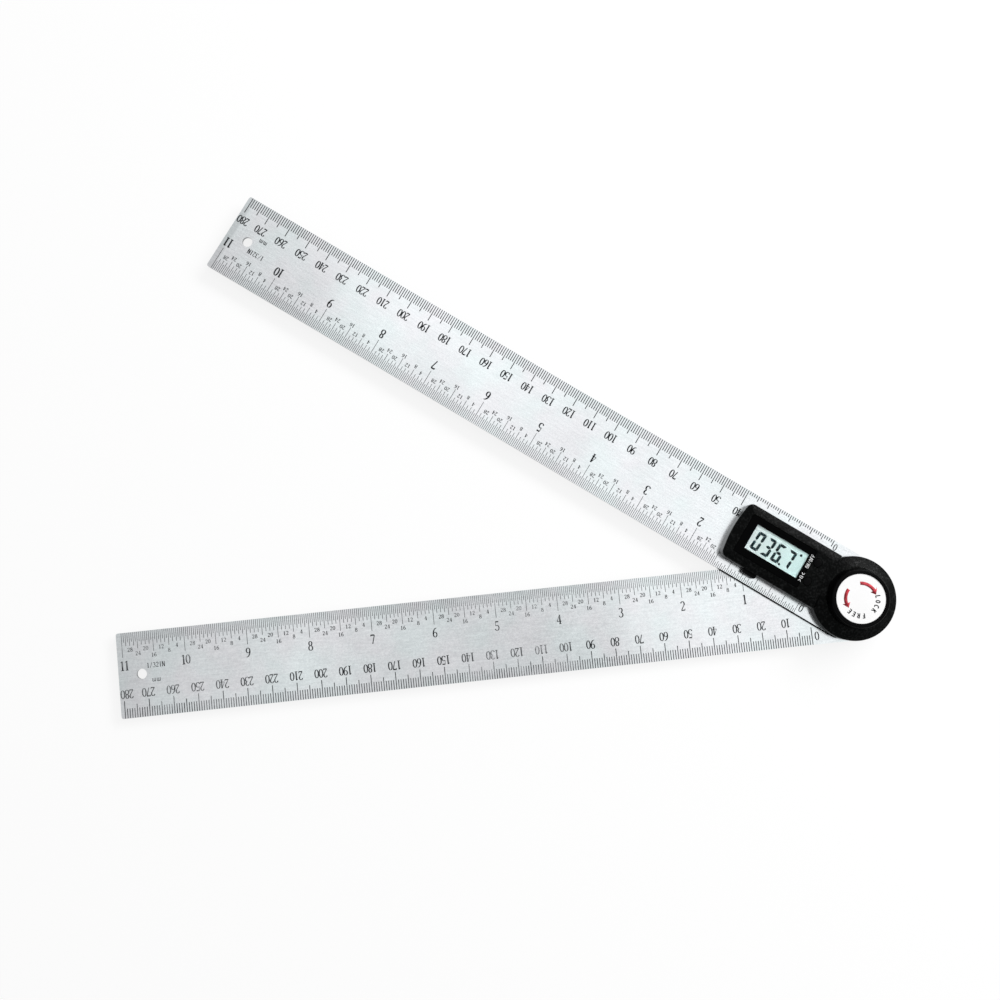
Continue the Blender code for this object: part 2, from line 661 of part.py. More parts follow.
def make_housing(carrier):
    """Moulded shell: display body and drum in one, hollow and open towards the blade."""
    shell = solid("housing", body_block(), grained_black(), carrier)
    shape_with(shell, "DIFFERENCE", disc(TROUGH_RADIUS, TROUGH, FACE + OVERRUN, FINE_STEPS))
    shape_with(shell, "UNION", drum_block())
    shape_with(shell, "DIFFERENCE", drum_cavity())
    low = SHELL_BOTTOM - OVERRUN
    doorway = BOARD_HALF + OVERRUN
    shape_with(shell, "DIFFERENCE", boxed((-BAY_NEAR - OVERRUN, -BOARD_ROUND + OVERRUN),
                                          (-doorway, doorway), (low, BOARD_TOP + THIN_GAP)))
    corner = BODY_CORNER * CAVITY_CORNER_SHARE
    bay = bay_outline(BAY_NEAR, BAY_FAR, BODY_BORE, corner, BODY_BULGE / 2)
    shape_with(shell, "DIFFERENCE", plate(bay, low, CEILING))
    shape_with(shell, "UNION", gather(boss_and_post_shapes()))
    shape_with(shell, "DIFFERENCE", gather(housing_holes()))
    centre = (-DISPLAY_CENTRE, 0, 0)
    recess = rounded_box(WINDOW_LENGTH + 2 * THIN_GAP, WINDOW_WIDTH + 2 * THIN_GAP, WINDOW_CORNER)
    shape_with(shell, "DIFFERENCE", plate(recess, WINDOW_BOTTOM - CONTACT_GAP, FACE + OVERRUN), centre)
    lcd_hole = rounded_box(LCD_LENGTH + 2 * THIN_GAP, LCD_WIDTH + 2 * THIN_GAP, THIN_GAP, 1)
    shape_with(shell, "DIFFERENCE", plate(lcd_hole, CEILING - OVERRUN, FACE), centre)
    return shell


def make_display(carrier):
    """Window, liquid crystal glass, rubber strips and the chip under them."""
    centre = (-DISPLAY_CENTRE, 0, 0)
    outline = rounded_box(WINDOW_LENGTH, WINDOW_WIDTH, WINDOW_CORNER - THIN_GAP)
    window = plate(outline, WINDOW_BOTTOM, WINDOW_TOP)
    solid("display_window", window, clear_acrylic(), carrier, centre)
    glass = plate(rounded_box(LCD_LENGTH, LCD_WIDTH, THIN_GAP, 1), LCD_BOTTOM, LCD_TOP)
    panel = solid("lcd_glass", glass, lcd_grey(), carrier, centre)
    ledge = boxed((-LCD_LENGTH, LCD_LENGTH), (LCD_WIDTH / 2 - LCD_STEP, LCD_WIDTH),
                  (LCD_BOTTOM + LCD_THICKNESS / 2, LCD_TOP + OVERRUN))
    shape_with(panel, "DIFFERENCE", ledge, centre)
    rubber = grey_rubber()
    outline = rounded_box(LCD_LENGTH - 2 * LCD_STEP, STRIP_WIDTH, STRIP_WIDTH / 4, 1)
    across = LCD_WIDTH / 2 - STRIP_WIDTH / 2 - SEAT_GAP
    for k, side in enumerate((1, -1), 1):
        strip = plate(outline, STRIP_BOTTOM, STRIP_BOTTOM + STRIP_HEIGHT)
        solid(f"rubber_connector_{k}", strip, rubber, carrier, (-DISPLAY_CENTRE, side * across, 0))
    low = BOARD_TOP + CONTACT_GAP
    shoulder = low + CHIP_HEIGHT * CHIP_SHOULDER_SHARE
    blob = [(0, low), (CHIP_RADIUS, low), (CHIP_RADIUS - CHIP_HEIGHT, shoulder), (0, low + CHIP_HEIGHT)]
    solid("control_chip", turned(blob, SMALL_STEPS), black_epoxy(), carrier, centre)


def make_circuit_board(carrier):
    """Board with a round end that reads the rotor and a tongue under the display."""
    tongue = boxed((-BOARD_FAR, 0), (-BOARD_HALF, BOARD_HALF), (BOARD_BOTTOM, BOARD_TOP))
    board = solid("circuit_board", tongue, board_green(), carrier)
    shape_with(board, "UNION", disc(BOARD_ROUND, BOARD_BOTTOM, BOARD_TOP, FINE_STEPS))
    low = BOARD_BOTTOM - OVERRUN
    high = BOARD_TOP + OVERRUN
    cuts = [(disc(STUD_SEAT_RADIUS + SEAT_GAP, low, high, ROUND_STEPS), (0, 0, 0))]
    cuts += [(disc(POST_RADIUS + THIN_GAP, low, high), (*spot, 0)) for spot in post_places()]
    shape_with(board, "DIFFERENCE", gather(cuts))
    return board


def make_buttons(carrier):
    """Two small buttons, each with a flange under the roof, and the switch domes below them."""
    travel_floor = BOARD_TOP + CONTACT_GAP
    flange_top = CEILING - CONTACT_GAP
    flange_bottom = flange_top - BUTTON_FLANGE_THICKNESS
    top = FACE + BUTTON_STANDS_OUT
    flange = BUTTON_RADIUS + BUTTON_FLANGE
    profile = [(0, flange_bottom), (flange, flange_bottom), (flange, flange_top),
               (BUTTON_RADIUS, flange_top), (BUTTON_RADIUS, top - BUTTON_EDGE),
               (BUTTON_RADIUS - BUTTON_EDGE, top), (0, top)]
    dome_top = travel_floor + DOME_HEIGHT
    dome = [(0, travel_floor), (DOME_RADIUS, travel_floor), (DOME_RADIUS / 2, dome_top), (0, dome_top)]
    rubber = smooth_black()
    metal = spring_plate()
    for use, spot in zip(("power", "zero"), button_places()):
        solid(f"{use}_button", turned(profile, SMALL_STEPS), rubber, carrier, (*spot, 0))
        solid(f"{use}_switch_dome", turned(dome, SMALL_STEPS), metal, carrier, (*spot, 0))


def make_battery(carrier):
    """Coin cell: wide can with the smaller terminal on top."""
    rim = COIN_RADIUS - COIN_RIM
    shoulder = COIN_TOP - COIN_STEP
    profile = [(0, COIN_BOTTOM), (COIN_RADIUS - COIN_STEP, COIN_BOTTOM),
               (COIN_RADIUS, COIN_BOTTOM + COIN_STEP), (COIN_RADIUS, shoulder),
               (rim, shoulder), (rim, COIN_TOP), (0, COIN_TOP)]
    place = (-COIN_REACH, COIN_ACROSS, 0)
    return solid("coin_cell", turned(profile, FINE_STEPS), spring_plate(), carrier, place)


def make_battery_drawer(carrier):
    """Drawer: floor and curved wall round the cell, front panel in the slot and a finger tab."""
    front = -BODY_BORE
    wall_top = DRAWER_BOTTOM + DRAWER_FLOOR + DRAWER_WALL_HEIGHT
    panel_top = SLOT_TOP - THIN_GAP
    base = arc((0, COIN_ACROSS), DRAWER_RADIUS, 0, 180, ROUND_STEPS // 2)
    base += [(-DRAWER_RADIUS, front - CONTACT_GAP), (DRAWER_RADIUS, front - CONTACT_GAP)]
    place = (-COIN_REACH, 0, 0)
    drawer = solid("battery_drawer", plate(base, DRAWER_BOTTOM, wall_top), smooth_black(), carrier, place)
    half = SLOT_HALF - THIN_GAP
    panel = boxed((-half, half), (-BODY_HALF, front), (DRAWER_BOTTOM, panel_top))
    shape_with(drawer, "UNION", panel, place)
    tab_middle = (DRAWER_BOTTOM + panel_top) / 2
    tab = plate(rounded_box(TAB_WIDTH, 2 * TAB_REACH, TAB_CORNER, 3),
                tab_middle - TAB_HEIGHT / 2, tab_middle + TAB_HEIGHT / 2)
    shape_with(drawer, "UNION", tab, (-COIN_REACH, -BODY_HALF, 0))
    pocket = disc(COIN_RADIUS + SIDE_GAP, DRAWER_BOTTOM + DRAWER_FLOOR, COIN_TOP + OVERRUN, FINE_STEPS)
    shape_with(drawer, "DIFFERENCE", pocket, (-COIN_REACH, COIN_ACROSS, 0))
    notch = boxed((-DRAWER_NOTCH / 2, DRAWER_NOTCH / 2), (COIN_ACROSS + COIN_RADIUS / 2, BODY_HALF),
                  (DRAWER_BOTTOM + DRAWER_FLOOR, COIN_TOP + OVERRUN))
    shape_with(drawer, "DIFFERENCE", notch, place)
    return drawer


def make_battery_contacts(carrier):
    """Leaf over the cell's top, and a bent clip that touches its rim."""
    metal = spring_plate()
    leaf = plate(rounded_box(LEAF_LENGTH, LEAF_WIDTH, LEAF_WIDTH / 3), LEAF_BOTTOM, LEAF_TOP)
    solid("contact_leaf", leaf, metal, carrier, (-COIN_REACH, COIN_ACROSS, 0))
    rim = COIN_ACROSS + COIN_RADIUS + CONTACT_GAP
    half = CLIP_WIDTH / 2
    place = (-COIN_REACH, 0, 0)
    upright = boxed((-half, half), (rim, rim + LEAF_THICKNESS), (COIN_BOTTOM + COIN_STEP, LEAF_TOP))
    clip = solid("contact_clip", upright, metal, carrier, place)
    foot = boxed((-half, half), (BOARD_HALF - CLIP_LAP, rim + LEAF_THICKNESS / 2), (LEAF_BOTTOM, LEAF_TOP))
    shape_with(clip, "UNION", foot, place)


def knob_profile():
    """Half profile of the knob: label recess, round rim, tapered side, washer recess and socket."""
    foot = KNOB_RADIUS + KNOB_SKIRT
    recess = LABEL_RADIUS + SIDE_GAP
    rim = arc((KNOB_RADIUS - KNOB_ROUND, KNOB_TOP - KNOB_ROUND), KNOB_ROUND, 90, 0, 4)
    washer = KNOB_WASHER_RADIUS + SEAT_GAP
    washer_ceiling = KNOB_WASHER_TOP + THIN_GAP
    socket = INSERT_RADIUS + THIN_GAP
    return ([(0, LABEL_FLOOR), (recess, LABEL_FLOOR), (recess, KNOB_TOP)] + rim
            + [(foot, KNOB_BOTTOM + KNOB_FOOT_CHAMFER), (foot - KNOB_FOOT_CHAMFER, KNOB_BOTTOM),
               (washer, KNOB_BOTTOM), (washer, washer_ceiling), (socket, washer_ceiling),
               (socket, SOCKET_TOP), (0, SOCKET_TOP)])


def make_lock_knob(carrier):
    """Knob on the stud's thread, with its brass insert, friction washer and label."""
    solid("lock_knob", turned(knob_profile(), FINE_STEPS), smooth_black(), carrier)
    thread = STUD_THREAD_RADIUS + THIN_GAP
    insert = ring_plate(thread, INSERT_RADIUS, INSERT_BOTTOM, SOCKET_TOP - THIN_GAP)
    solid("knob_insert", insert, brass(), carrier)
    bore = thread + THIN_GAP
    washer = ring_plate(bore, KNOB_WASHER_RADIUS, KNOB_WASHER_BOTTOM, KNOB_WASHER_TOP)
    solid("knob_washer", washer, nylon(), carrier)
    label_bottom = LABEL_FLOOR + CONTACT_GAP
    label = disc(LABEL_RADIUS, label_bottom, label_bottom + LABEL_THICKNESS, FINE_STEPS)
    solid("knob_label", label, white_card(), carrier)


def main():
    clear_scene()
    lower_arm = frame_empty("lower_arm_frame")
    upper_arm = frame_empty("upper_arm_frame", -ARM_ANGLE)
    make_back_cap(lower_arm)
    make_cap_screws(lower_arm)
    make_lower_blade(lower_arm)
    make_pivot_stud(lower_arm)
    make_thrust_washer(lower_arm)
    make_encoder_rotor(lower_arm)
    make_upper_blade(upper_arm)
    make_housing_screws(upper_arm)
    make_housing(upper_arm)
    make_display(upper_arm)
    make_circuit_board(upper_arm)
    make_buttons(upper_arm)
    make_battery(upper_arm)
    make_battery_drawer(upper_arm)
    make_battery_contacts(upper_arm)
    make_lock_knob(lower_arm)


main()
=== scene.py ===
import json
import math

import bmesh
import bpy
import numpy as np
from bpy.props import (FloatProperty, FloatVectorProperty, IntProperty, PointerProperty,
                       StringProperty)
from bpy.types import Operator, Panel, PropertyGroup
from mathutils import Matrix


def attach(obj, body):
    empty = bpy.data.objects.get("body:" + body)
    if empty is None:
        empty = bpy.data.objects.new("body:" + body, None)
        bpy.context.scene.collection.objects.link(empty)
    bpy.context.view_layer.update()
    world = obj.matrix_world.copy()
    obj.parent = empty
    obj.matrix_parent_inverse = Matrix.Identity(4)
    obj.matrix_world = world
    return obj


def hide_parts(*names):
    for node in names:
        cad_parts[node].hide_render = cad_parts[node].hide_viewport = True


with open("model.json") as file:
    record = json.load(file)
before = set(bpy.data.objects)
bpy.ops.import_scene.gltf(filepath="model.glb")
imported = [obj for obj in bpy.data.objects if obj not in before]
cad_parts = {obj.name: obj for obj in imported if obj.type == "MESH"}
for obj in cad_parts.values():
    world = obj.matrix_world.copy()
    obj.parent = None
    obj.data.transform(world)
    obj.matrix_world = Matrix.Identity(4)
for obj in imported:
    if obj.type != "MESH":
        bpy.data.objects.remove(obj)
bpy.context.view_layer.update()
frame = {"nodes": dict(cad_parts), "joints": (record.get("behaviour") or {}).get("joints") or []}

bl_info = {
    "name": "Digital angle finder finish",
    "version": (1, 0, 0),
    "blender": (4, 5, 0),
    "location": "3D View > Sidebar > Angle Finder",
    "description": "Scales, display, mouldings, finishes and studio for a digital angle finder",
    "category": "Object",
}

MM = 0.001
INCH = 25.4 * MM
FULL_TURN = 2 * math.pi

# The drawer slides square to the upper arm, so its axis gives that arm's turn
SLIDE = next(joint for joint in frame["joints"] if joint["name"] == "battery_drawer_slide")
UPPER_TURN = math.atan2(SLIDE["axis"][0], -SLIDE["axis"][1])


# Places of the CAD nodes in the frame of the arm that carries them

def node_points(name):
    """Every corner point of a CAD node, as an array in the row frame."""
    mesh = frame["nodes"][name].data
    points = np.empty(len(mesh.vertices) * 3, np.float32)
    mesh.vertices.foreach_get("co", points)
    return points.reshape(-1, 3).astype(float)


def turned_about_pivot(points, turn):
    """Points turned about the pivot's upright axis by the angle given."""
    cosine, sine = math.cos(turn), math.sin(turn)
    return points @ np.array([[cosine, sine, 0], [-sine, cosine, 0], [0, 0, 1]])


def arm_box(name, turn=UPPER_TURN):
    """Lowest and highest corner of a CAD node in the frame of an arm that points along -X."""
    points = turned_about_pivot(node_points(name), -turn)
    return points.min(0), points.max(0)


BLADE_HIGH = arm_box("lower_blade", 0)[1]
BLADE_HALF = BLADE_HIGH[1]
LOWER_FACE = BLADE_HIGH[2]
UPPER_FACE = arm_box("upper_blade")[1][2]
HOUSING_LOW, HOUSING_HIGH = arm_box("housing")
FACE = HOUSING_HIGH[2]
SHELL_BOTTOM = HOUSING_LOW[2]
DRUM_RADIUS = HOUSING_HIGH[0]
WINDOW_LOW, WINDOW_HIGH = arm_box("display_window")
LCD_LOW, LCD_HIGH = arm_box("lcd_glass")
DRAWER_LOW, DRAWER_HIGH = arm_box("battery_drawer")
KNOB_LOW, KNOB_HIGH = arm_box("lock_knob")
LABEL_LOW, LABEL_HIGH = arm_box("knob_label")


# Settings that a user would change

def colour_setting(name, description, default):
    """A colour."""
    return FloatVectorProperty(name=name, description=description, default=default,
                               subtype="COLOR", size=3, min=0, max=1)


def length_setting(name, description, default):
    """A length, its default given in millimetres."""
    return FloatProperty(name=name, description=description, default=default * MM,
                         unit="LENGTH", min=0)


def lengths_setting(name, description, *defaults):
    """Several lengths, their defaults given in millimetres."""
    return FloatVectorProperty(name=name, description=description, unit="LENGTH",
                               size=len(defaults), default=[part * MM for part in defaults])


def number_setting(name, description, default):
    """A plain number, such as a roughness or a strength."""
    return FloatProperty(name=name, description=description, default=default, min=0)


class BladeSettings(PropertyGroup):
    steel: colour_setting("Steel", "Colour of the satin stainless blades", (0.7, 0.725, 0.735))
    roughness: number_setting("Roughness", "How dull the steel is", 0.2)
    ink: colour_setting("Ink", "Colour of the filled scale marks", (0.018, 0.02, 0.022))
    line_width: length_setting("Millimetre line width", "Width of a millimetre line", 0.34)
    inch_line_width: length_setting("Inch line width", "Width of an inch scale's line", 0.21)
    ink_height: length_setting("Ink height", "How far the ink stands above the steel", 0.012)
    zero_reach: length_setting("Zero line", "Distance of both zero lines from the pivot", 17.0)
    last_millimetre: IntProperty(
        name="Last millimetre", description="Number on the last millimetre line", default=280)
    last_inch: IntProperty(
        name="Last inch", description="Number on the last inch line", default=11)
    millimetre_lines: lengths_setting(
        "Millimetre lines", "Lengths of the 1, 5 and 10 mm lines", 3.9, 5.45, 7.0)
    inch_lines: lengths_setting(
        "Inch lines", "Lengths of the 1/32, 1/16, 1/4, 1/2 and 1 inch lines",
        3.8, 5.3, 6.7, 8.4, 9.85)
    number_height: length_setting("Number height", "Height of the large numbers", 3.75)
    small_number_height: length_setting(
        "Small number height", "Height of the numbers between the inches", 1.65)


class HousingSettings(PropertyGroup):
    plastic: colour_setting(
        "Plastic", "Colour of the grained moulding", (0.0013, 0.0016, 0.0016))
    edge_radius: length_setting("Edge radius", "Rounding of the display body's upper edge", 1.1)
    margin_fall: length_setting(
        "Margin fall", "How far the face falls from the window to its edge", 0.9)
    window: colour_setting(
        "Window border", "Colour of the glossy border round the display", (0.0008, 0.0009, 0.001))
    print: colour_setting("Key print", "Colour of the print beside the keys", (0.8, 0.82, 0.82))


class DisplaySettings(PropertyGroup):
    reading: StringProperty(
        name="Reading", description="Degrees on the display, with one decimal", default="036.7")
    glass: colour_setting("Display", "Colour of the display's clear field", (0.6, 0.79, 0.77))
    segment: colour_setting("Segments", "Colour of the dark segments", (0.007, 0.018, 0.02))
    digit_height: length_setting("Digit height", "Height of a digit", 7.95)
    digit_width: length_setting("Digit width", "Width of a digit", 3.55)
    digit_pitch: length_setting("Digit pitch", "From one digit to the next", 4.67)
    segment_width: length_setting("Segment width", "Width of a segment", 1.13)


class KnobSettings(PropertyGroup):
    plastic: colour_setting(
        "Plastic", "Colour of the smooth mouldings", (0.0014, 0.0014, 0.0016))
    label: colour_setting("Label", "Colour of the label's film", (0.95, 0.95, 0.95))
    arrow: colour_setting("Arrows", "Colour of the two turning arrows", (0.31, 0.032, 0.042))
    arrow_radius: length_setting("Arrow radius", "Radius of the arrows' centre line", 6.15)
    arrow_width: length_setting("Arrow width", "Width of the arrows' bands", 1.35)


class StudioSettings(PropertyGroup):
    camera_place: FloatVectorProperty(
        name="Camera", description="Where the camera stands", subtype="TRANSLATION",
        unit="LENGTH", size=3, default=(-0.141284, 0.023722, 0.392618))
    camera_turn: FloatVectorProperty(
        name="Camera turn", description="How the camera is turned", subtype="EULER",
        size=3, default=(0.0806989, -0.0014822, -0.1058811))
    lens: number_setting("Lens", "Focal length on a 36 mm sensor, in millimetres", 34.2)
    surround: number_setting("Surround", "Strength of the even light from all round", 0.38)
    overhead: number_setting("Overhead panel", "Brightness of the large panel above", 0.42)
    side: number_setting("Side panel", "Brightness of the low panel behind the right", 13.5)
    floor_glow: number_setting("Floor glow", "Light that the floor gives to the camera", 0.84)


GROUPS = (("finder_blades", BladeSettings, "Blades"),
          ("finder_housing", HousingSettings, "Housing"),
          ("finder_display", DisplaySettings, "Display"),
          ("finder_knob", KnobSettings, "Knob"),
          ("finder_studio", StudioSettings, "Studio"))


# Meshes from whole arrays

def new_piece(name, points, faces, turn, edged=True):
    """A mesh piece from an array of corner points and lists of their numbers for its faces.

    The points are given in the frame of an arm along -X and are turned about the pivot. The
    shading is smooth, and an edged piece has it broken at its clear edges.
    """
    mesh = bpy.data.meshes.new(name)
    mesh.from_pydata(turned_about_pivot(points, turn).tolist(), [], faces, shade_flat=False)
    face_outwards(mesh)
    if edged:
        shade(mesh)
    piece = bpy.data.objects.new(name, mesh)
    bpy.context.scene.collection.objects.link(piece)
    return piece


def face_outwards(mesh):
    """Turns every face of closed solids outwards."""
    solid = bmesh.new()
    solid.from_mesh(mesh)
    bmesh.ops.recalc_face_normals(solid, faces=solid.faces)
    solid.to_mesh(mesh)
    solid.free()


def shade(mesh):
    """Smooth shading, broken where two faces meet at a clear edge."""
    mesh.shade_smooth()
    mesh.set_sharp_from_angle(angle=math.radians(32))


def mark_walls(mesh):
    """Marks upright faces beyond the drum by how nearly they face down the arm, named wall.

    The mark fades out as a face's normal rises from steep to level.
    """
    steep, level = 0.15, 0.5
    normals = np.empty(len(mesh.polygons) * 3, np.float32)
    mesh.polygon_normals.foreach_get("vector", normals)
    centres = np.empty(len(mesh.polygons) * 3, np.float32)
    mesh.polygons.foreach_get("center", centres)
    upright = 1 - np.clip((np.abs(normals[2::3]) - steep) / (level - steep), 0, 1)
    far = -normals[::3] * math.cos(UPPER_TURN) - normals[1::3] * math.sin(UPPER_TURN)
    beyond = np.hypot(centres[::3], centres[1::3]) > DRUM_RADIUS + 0.2 * MM
    mark = mesh.attributes.new("wall", "FLOAT", "FACE")
    mark.data.foreach_set("value", upright * np.clip(far, 0, 1) * beyond)


def ring_quads(rows, around, wrapped=False):
    """Faces between the rings of a grid: rows of rings, each closed round."""
    row = np.arange(rows if wrapped else rows - 1)[:, None]
    place = np.arange(around)[None, :]
    following = (place + 1) % around
    above = (row + 1) % rows
    corners = [row * around + place, row * around + following,
               above * around + following, above * around + place]
    return np.stack(corners, -1).reshape(-1, 4)


def ring_solid(name, rings, wrapped=False, turn=0.0):
    """A closed skin through rings of points, an array of rings by points by three.

    Unless the rings wrap round to the first, the first and last are closed by flat faces.
    """
    rows, around = rings.shape[:2]
    faces = ring_quads(rows, around, wrapped).tolist()
    if not wrapped:
        faces += [[*range(around)], [*range((rows - 1) * around, rows * around)]]
    return new_piece(name, rings.reshape(-1, 3), faces, turn)


def spun(profile, steps, centre=(0, 0)):
    """Rings of a profile of radius and height pairs, each radius swung once round an axis."""
    profile = np.asarray(profile, float)
    turn = np.arange(steps) * FULL_TURN / steps
    circle = np.stack([np.cos(turn), np.sin(turn)], -1)
    flat = profile[:, None, :1] * circle[None] + np.asarray(centre, float)
    height = np.broadcast_to(profile[:, None, 1:], flat.shape[:2] + (1,))
    return np.concatenate([flat, height], -1)


def arc(centre, radii, start, end, steps):
    """Points on an ellipse's arc between two angles in degrees, both included."""
    turn = np.radians(np.linspace(start, end, steps + 1))
    return np.stack([centre[0] + radii[0] * np.cos(turn), centre[1] + radii[1] * np.sin(turn)], -1)


def rounded_box(low, high, corner, steps=8):
    """Outline of a rectangle between two corners, with round corners."""
    low, high = np.asarray(low[:2]) + corner, np.asarray(high[:2]) - corner
    middles = ((high[0], high[1], 0), (low[0], high[1], 90),
               (low[0], low[1], 180), (high[0], low[1], 270))
    return np.concatenate([arc((x, y), (corner, corner), start, start + 90, steps)
                           for x, y, start in middles])


def stacked(outlines, heights):
    """Rings from outlines of equal length, each at its own height."""
    rings = np.zeros((len(outlines), len(outlines[0]), 3))
    rings[:, :, :2] = outlines
    rings[:, :, 2] = np.asarray(heights)[:, None]
    return rings


def upright(outline, low, high):
    """Rings of one outline carried straight up between two heights."""
    return stacked([outline, outline], [low, high])


def joined(name, groups, turn=0.0):
    """One mesh piece of many small solids, given in groups of like ones.

    A group is an array of solids by sections by corners by three. A solid's faces are its
    sides, from each section to the next, and its two flat ends.
    """
    points, faces, base = [], [], 0
    for group in groups:
        count, sections, corners = group.shape[:3]
        first = base + np.arange(count)[:, None, None] * sections * corners
        section = np.arange(corners)
        ends = first + np.stack([section, section + (sections - 1) * corners])
        faces += (first + ring_quads(sections, corners)).reshape(-1, 4).tolist()
        faces += ends.reshape(-1, corners).tolist()
        points.append(group.reshape(-1, 3))
        base += count * sections * corners
    return new_piece(name, np.concatenate(points), faces, turn, edged=False)


def prisms(outlines, low, high):
    """Upright prisms on outlines, an array of outlines by corners by two."""
    outlines = np.asarray(outlines, float)
    levels = np.zeros((len(outlines), 2, outlines.shape[1], 3))
    levels[..., :2] = outlines[:, None]
    levels[:, 0, :, 2] = low
    levels[:, 1, :, 2] = high
    return levels


def ribbons(lines, widths, low, high):
    """Flat ribbons along centre lines: a four-cornered section carried from point to point.

    The section's corners lie half the width to each side of the line, at two heights.
    """
    along = np.gradient(lines, axis=1)
    along /= np.linalg.norm(along, axis=2, keepdims=True)
    aside = np.stack([-along[..., 1], along[..., 0]], -1) * widths[..., None] / 2
    section = np.zeros(lines.shape[:2] + (4, 3))
    section[..., 0, :2] = section[..., 3, :2] = lines + aside
    section[..., 1, :2] = section[..., 2, :2] = lines - aside
    section[..., :2, 2] = low
    section[..., 2:, 2] = high
    return section


def cut(piece, tool, operation="DIFFERENCE"):
    """Cuts a tool away from a piece, or unites them, and lets the tool go."""
    change = piece.modifiers.new(operation.lower(), "BOOLEAN")
    change.operation = operation
    change.solver = "EXACT"
    change.object = tool
    whole = bpy.data.meshes.new_from_object(
        piece.evaluated_get(bpy.context.evaluated_depsgraph_get()))
    piece.modifiers.clear()
    spent = piece.data, tool.data
    piece.data = whole
    bpy.data.objects.remove(tool)
    for mesh in spent:
        bpy.data.meshes.remove(mesh)
    whole.name = piece.name


def soften(piece, width):
    """Rounds the sharp edges of a piece by a small live bevel, after its doubles are merged."""
    weld = piece.modifiers.new("merged", "WELD")
    weld.merge_threshold = 0.001 * MM
    bevel = piece.modifiers.new("eased_edges", "BEVEL")
    bevel.width = width
    bevel.segments = 2
    bevel.limit_method = "ANGLE"
    bevel.angle_limit = math.radians(35)


# Figures and letters, as strokes in a box one unit high, each with its width if it is fixed:
# a line has two points, and an arc its centre, radii, start and end in degrees

FIGURES = {
    "0": [((0.25, 0.5, 0.19, 0.44, 0, 360), None)],
    "1": [((0.26, 0.03, 0.26, 0.95), 0.13), ((0.11, 0.03, 0.41, 0.03), 0.06),
          ((0.27, 0.95, 0.11, 0.83), 0.06)],
    "2": [((0.24, 0.71, 0.17, 0.24, 165, -25), None), ((0.4, 0.62, 0.07, 0.08), 0.08),
          ((0.06, 0.07, 0.44, 0.07), 0.11), ((0.44, 0.07, 0.45, 0.22), 0.05)],
    "3": [((0.23, 0.74, 0.16, 0.21, 155, -80), None), ((0.22, 0.27, 0.2, 0.24, 85, -160), None)],
    "4": [((0.33, 0.03, 0.33, 0.95), 0.13), ((0.31, 0.93, 0.04, 0.29), 0.05),
          ((0.03, 0.28, 0.48, 0.28), 0.06), ((0.2, 0.03, 0.46, 0.03), 0.05)],
    "5": [((0.11, 0.92, 0.43, 0.92), 0.12), ((0.12, 0.93, 0.1, 0.52), 0.05),
          ((0.23, 0.3, 0.2, 0.26, 130, -160), None)],
    "6": [((0.25, 0.29, 0.18, 0.25, 0, 360), None), ((0.42, 0.33, 0.35, 0.61, 180, 85), None)],
    "7": [((0.06, 0.91, 0.45, 0.91), 0.13), ((0.44, 0.9, 0.2, 0.03), 0.09),
          ((0.06, 0.93, 0.06, 0.78), 0.05)],
    "8": [((0.25, 0.74, 0.15, 0.21, 0, 360), None), ((0.25, 0.28, 0.19, 0.24, 0, 360), None)],
    "9": [((0.25, 0.71, 0.18, 0.25, 0, 360), None), ((0.08, 0.67, 0.35, 0.61, 0, -95), None)],
    "/": [((0.06, -0.03, 0.4, 1.0), 0.07)],
    "m": [((0.06, 0.0, 0.06, 0.62), 0.09), ((0.19, 0.42, 0.12, 0.19, 180, 0), 0.08),
          ((0.31, 0.42, 0.31, 0.0), 0.09), ((0.44, 0.42, 0.12, 0.19, 180, 0), 0.08),
          ((0.56, 0.42, 0.56, 0.0), 0.09)],
    "O": [((0.25, 0.5, 0.18, 0.43, 0, 360), 0.14)],
    "C": [((0.29, 0.5, 0.22, 0.44, 48, 312), 0.14)],
    "E": [((0.1, 0.0, 0.1, 1.0), 0.14), ((0.04, 0.93, 0.46, 0.93), 0.13),
          ((0.06, 0.5, 0.4, 0.5), 0.13), ((0.04, 0.07, 0.46, 0.07), 0.13)],
    "I": [((0.25, 0.0, 0.25, 1.0), 0.14)],
    "K": [((0.1, 0.0, 0.1, 1.0), 0.14), ((0.44, 0.98, 0.12, 0.42), 0.13),
          ((0.2, 0.58, 0.47, 0.02), 0.14)],
    "L": [((0.1, 0.0, 0.1, 1.0), 0.14), ((0.04, 0.07, 0.44, 0.07), 0.13)],
    "R": [((0.1, 0.0, 0.1, 1.0), 0.14), ((0.2, 0.73, 0.22, 0.21, 90, -90), 0.13),
          ((0.04, 0.94, 0.22, 0.94), 0.13), ((0.04, 0.52, 0.22, 0.52), 0.13),
          ((0.24, 0.52, 0.46, 0.02), 0.14)],
    "N": [((0.07, 0.0, 0.07, 1.0), 0.14), ((0.08, 0.97, 0.42, 0.03), 0.14),
          ((0.43, 0.0, 0.43, 1.0), 0.14)],
    "F": [((0.1, 0.0, 0.1, 1.0), 0.14), ((0.04, 0.93, 0.44, 0.93), 0.14),
          ((0.06, 0.52, 0.38, 0.52), 0.14)],
    ">": [((0.08, 0.86, 0.44, 0.5), 0.13), ((0.44, 0.5, 0.08, 0.14), 0.13)],
    "<": [((0.44, 0.86, 0.08, 0.5), 0.13), ((0.08, 0.5, 0.44, 0.14), 0.13)],
}
# Widths of strokes and the middle of a figure's box, as shares of its height
THICK_STROKE = 0.125
THIN_STROKE = 0.055
FIGURE_MIDDLE = 0.25
ARC_STEPS = 12


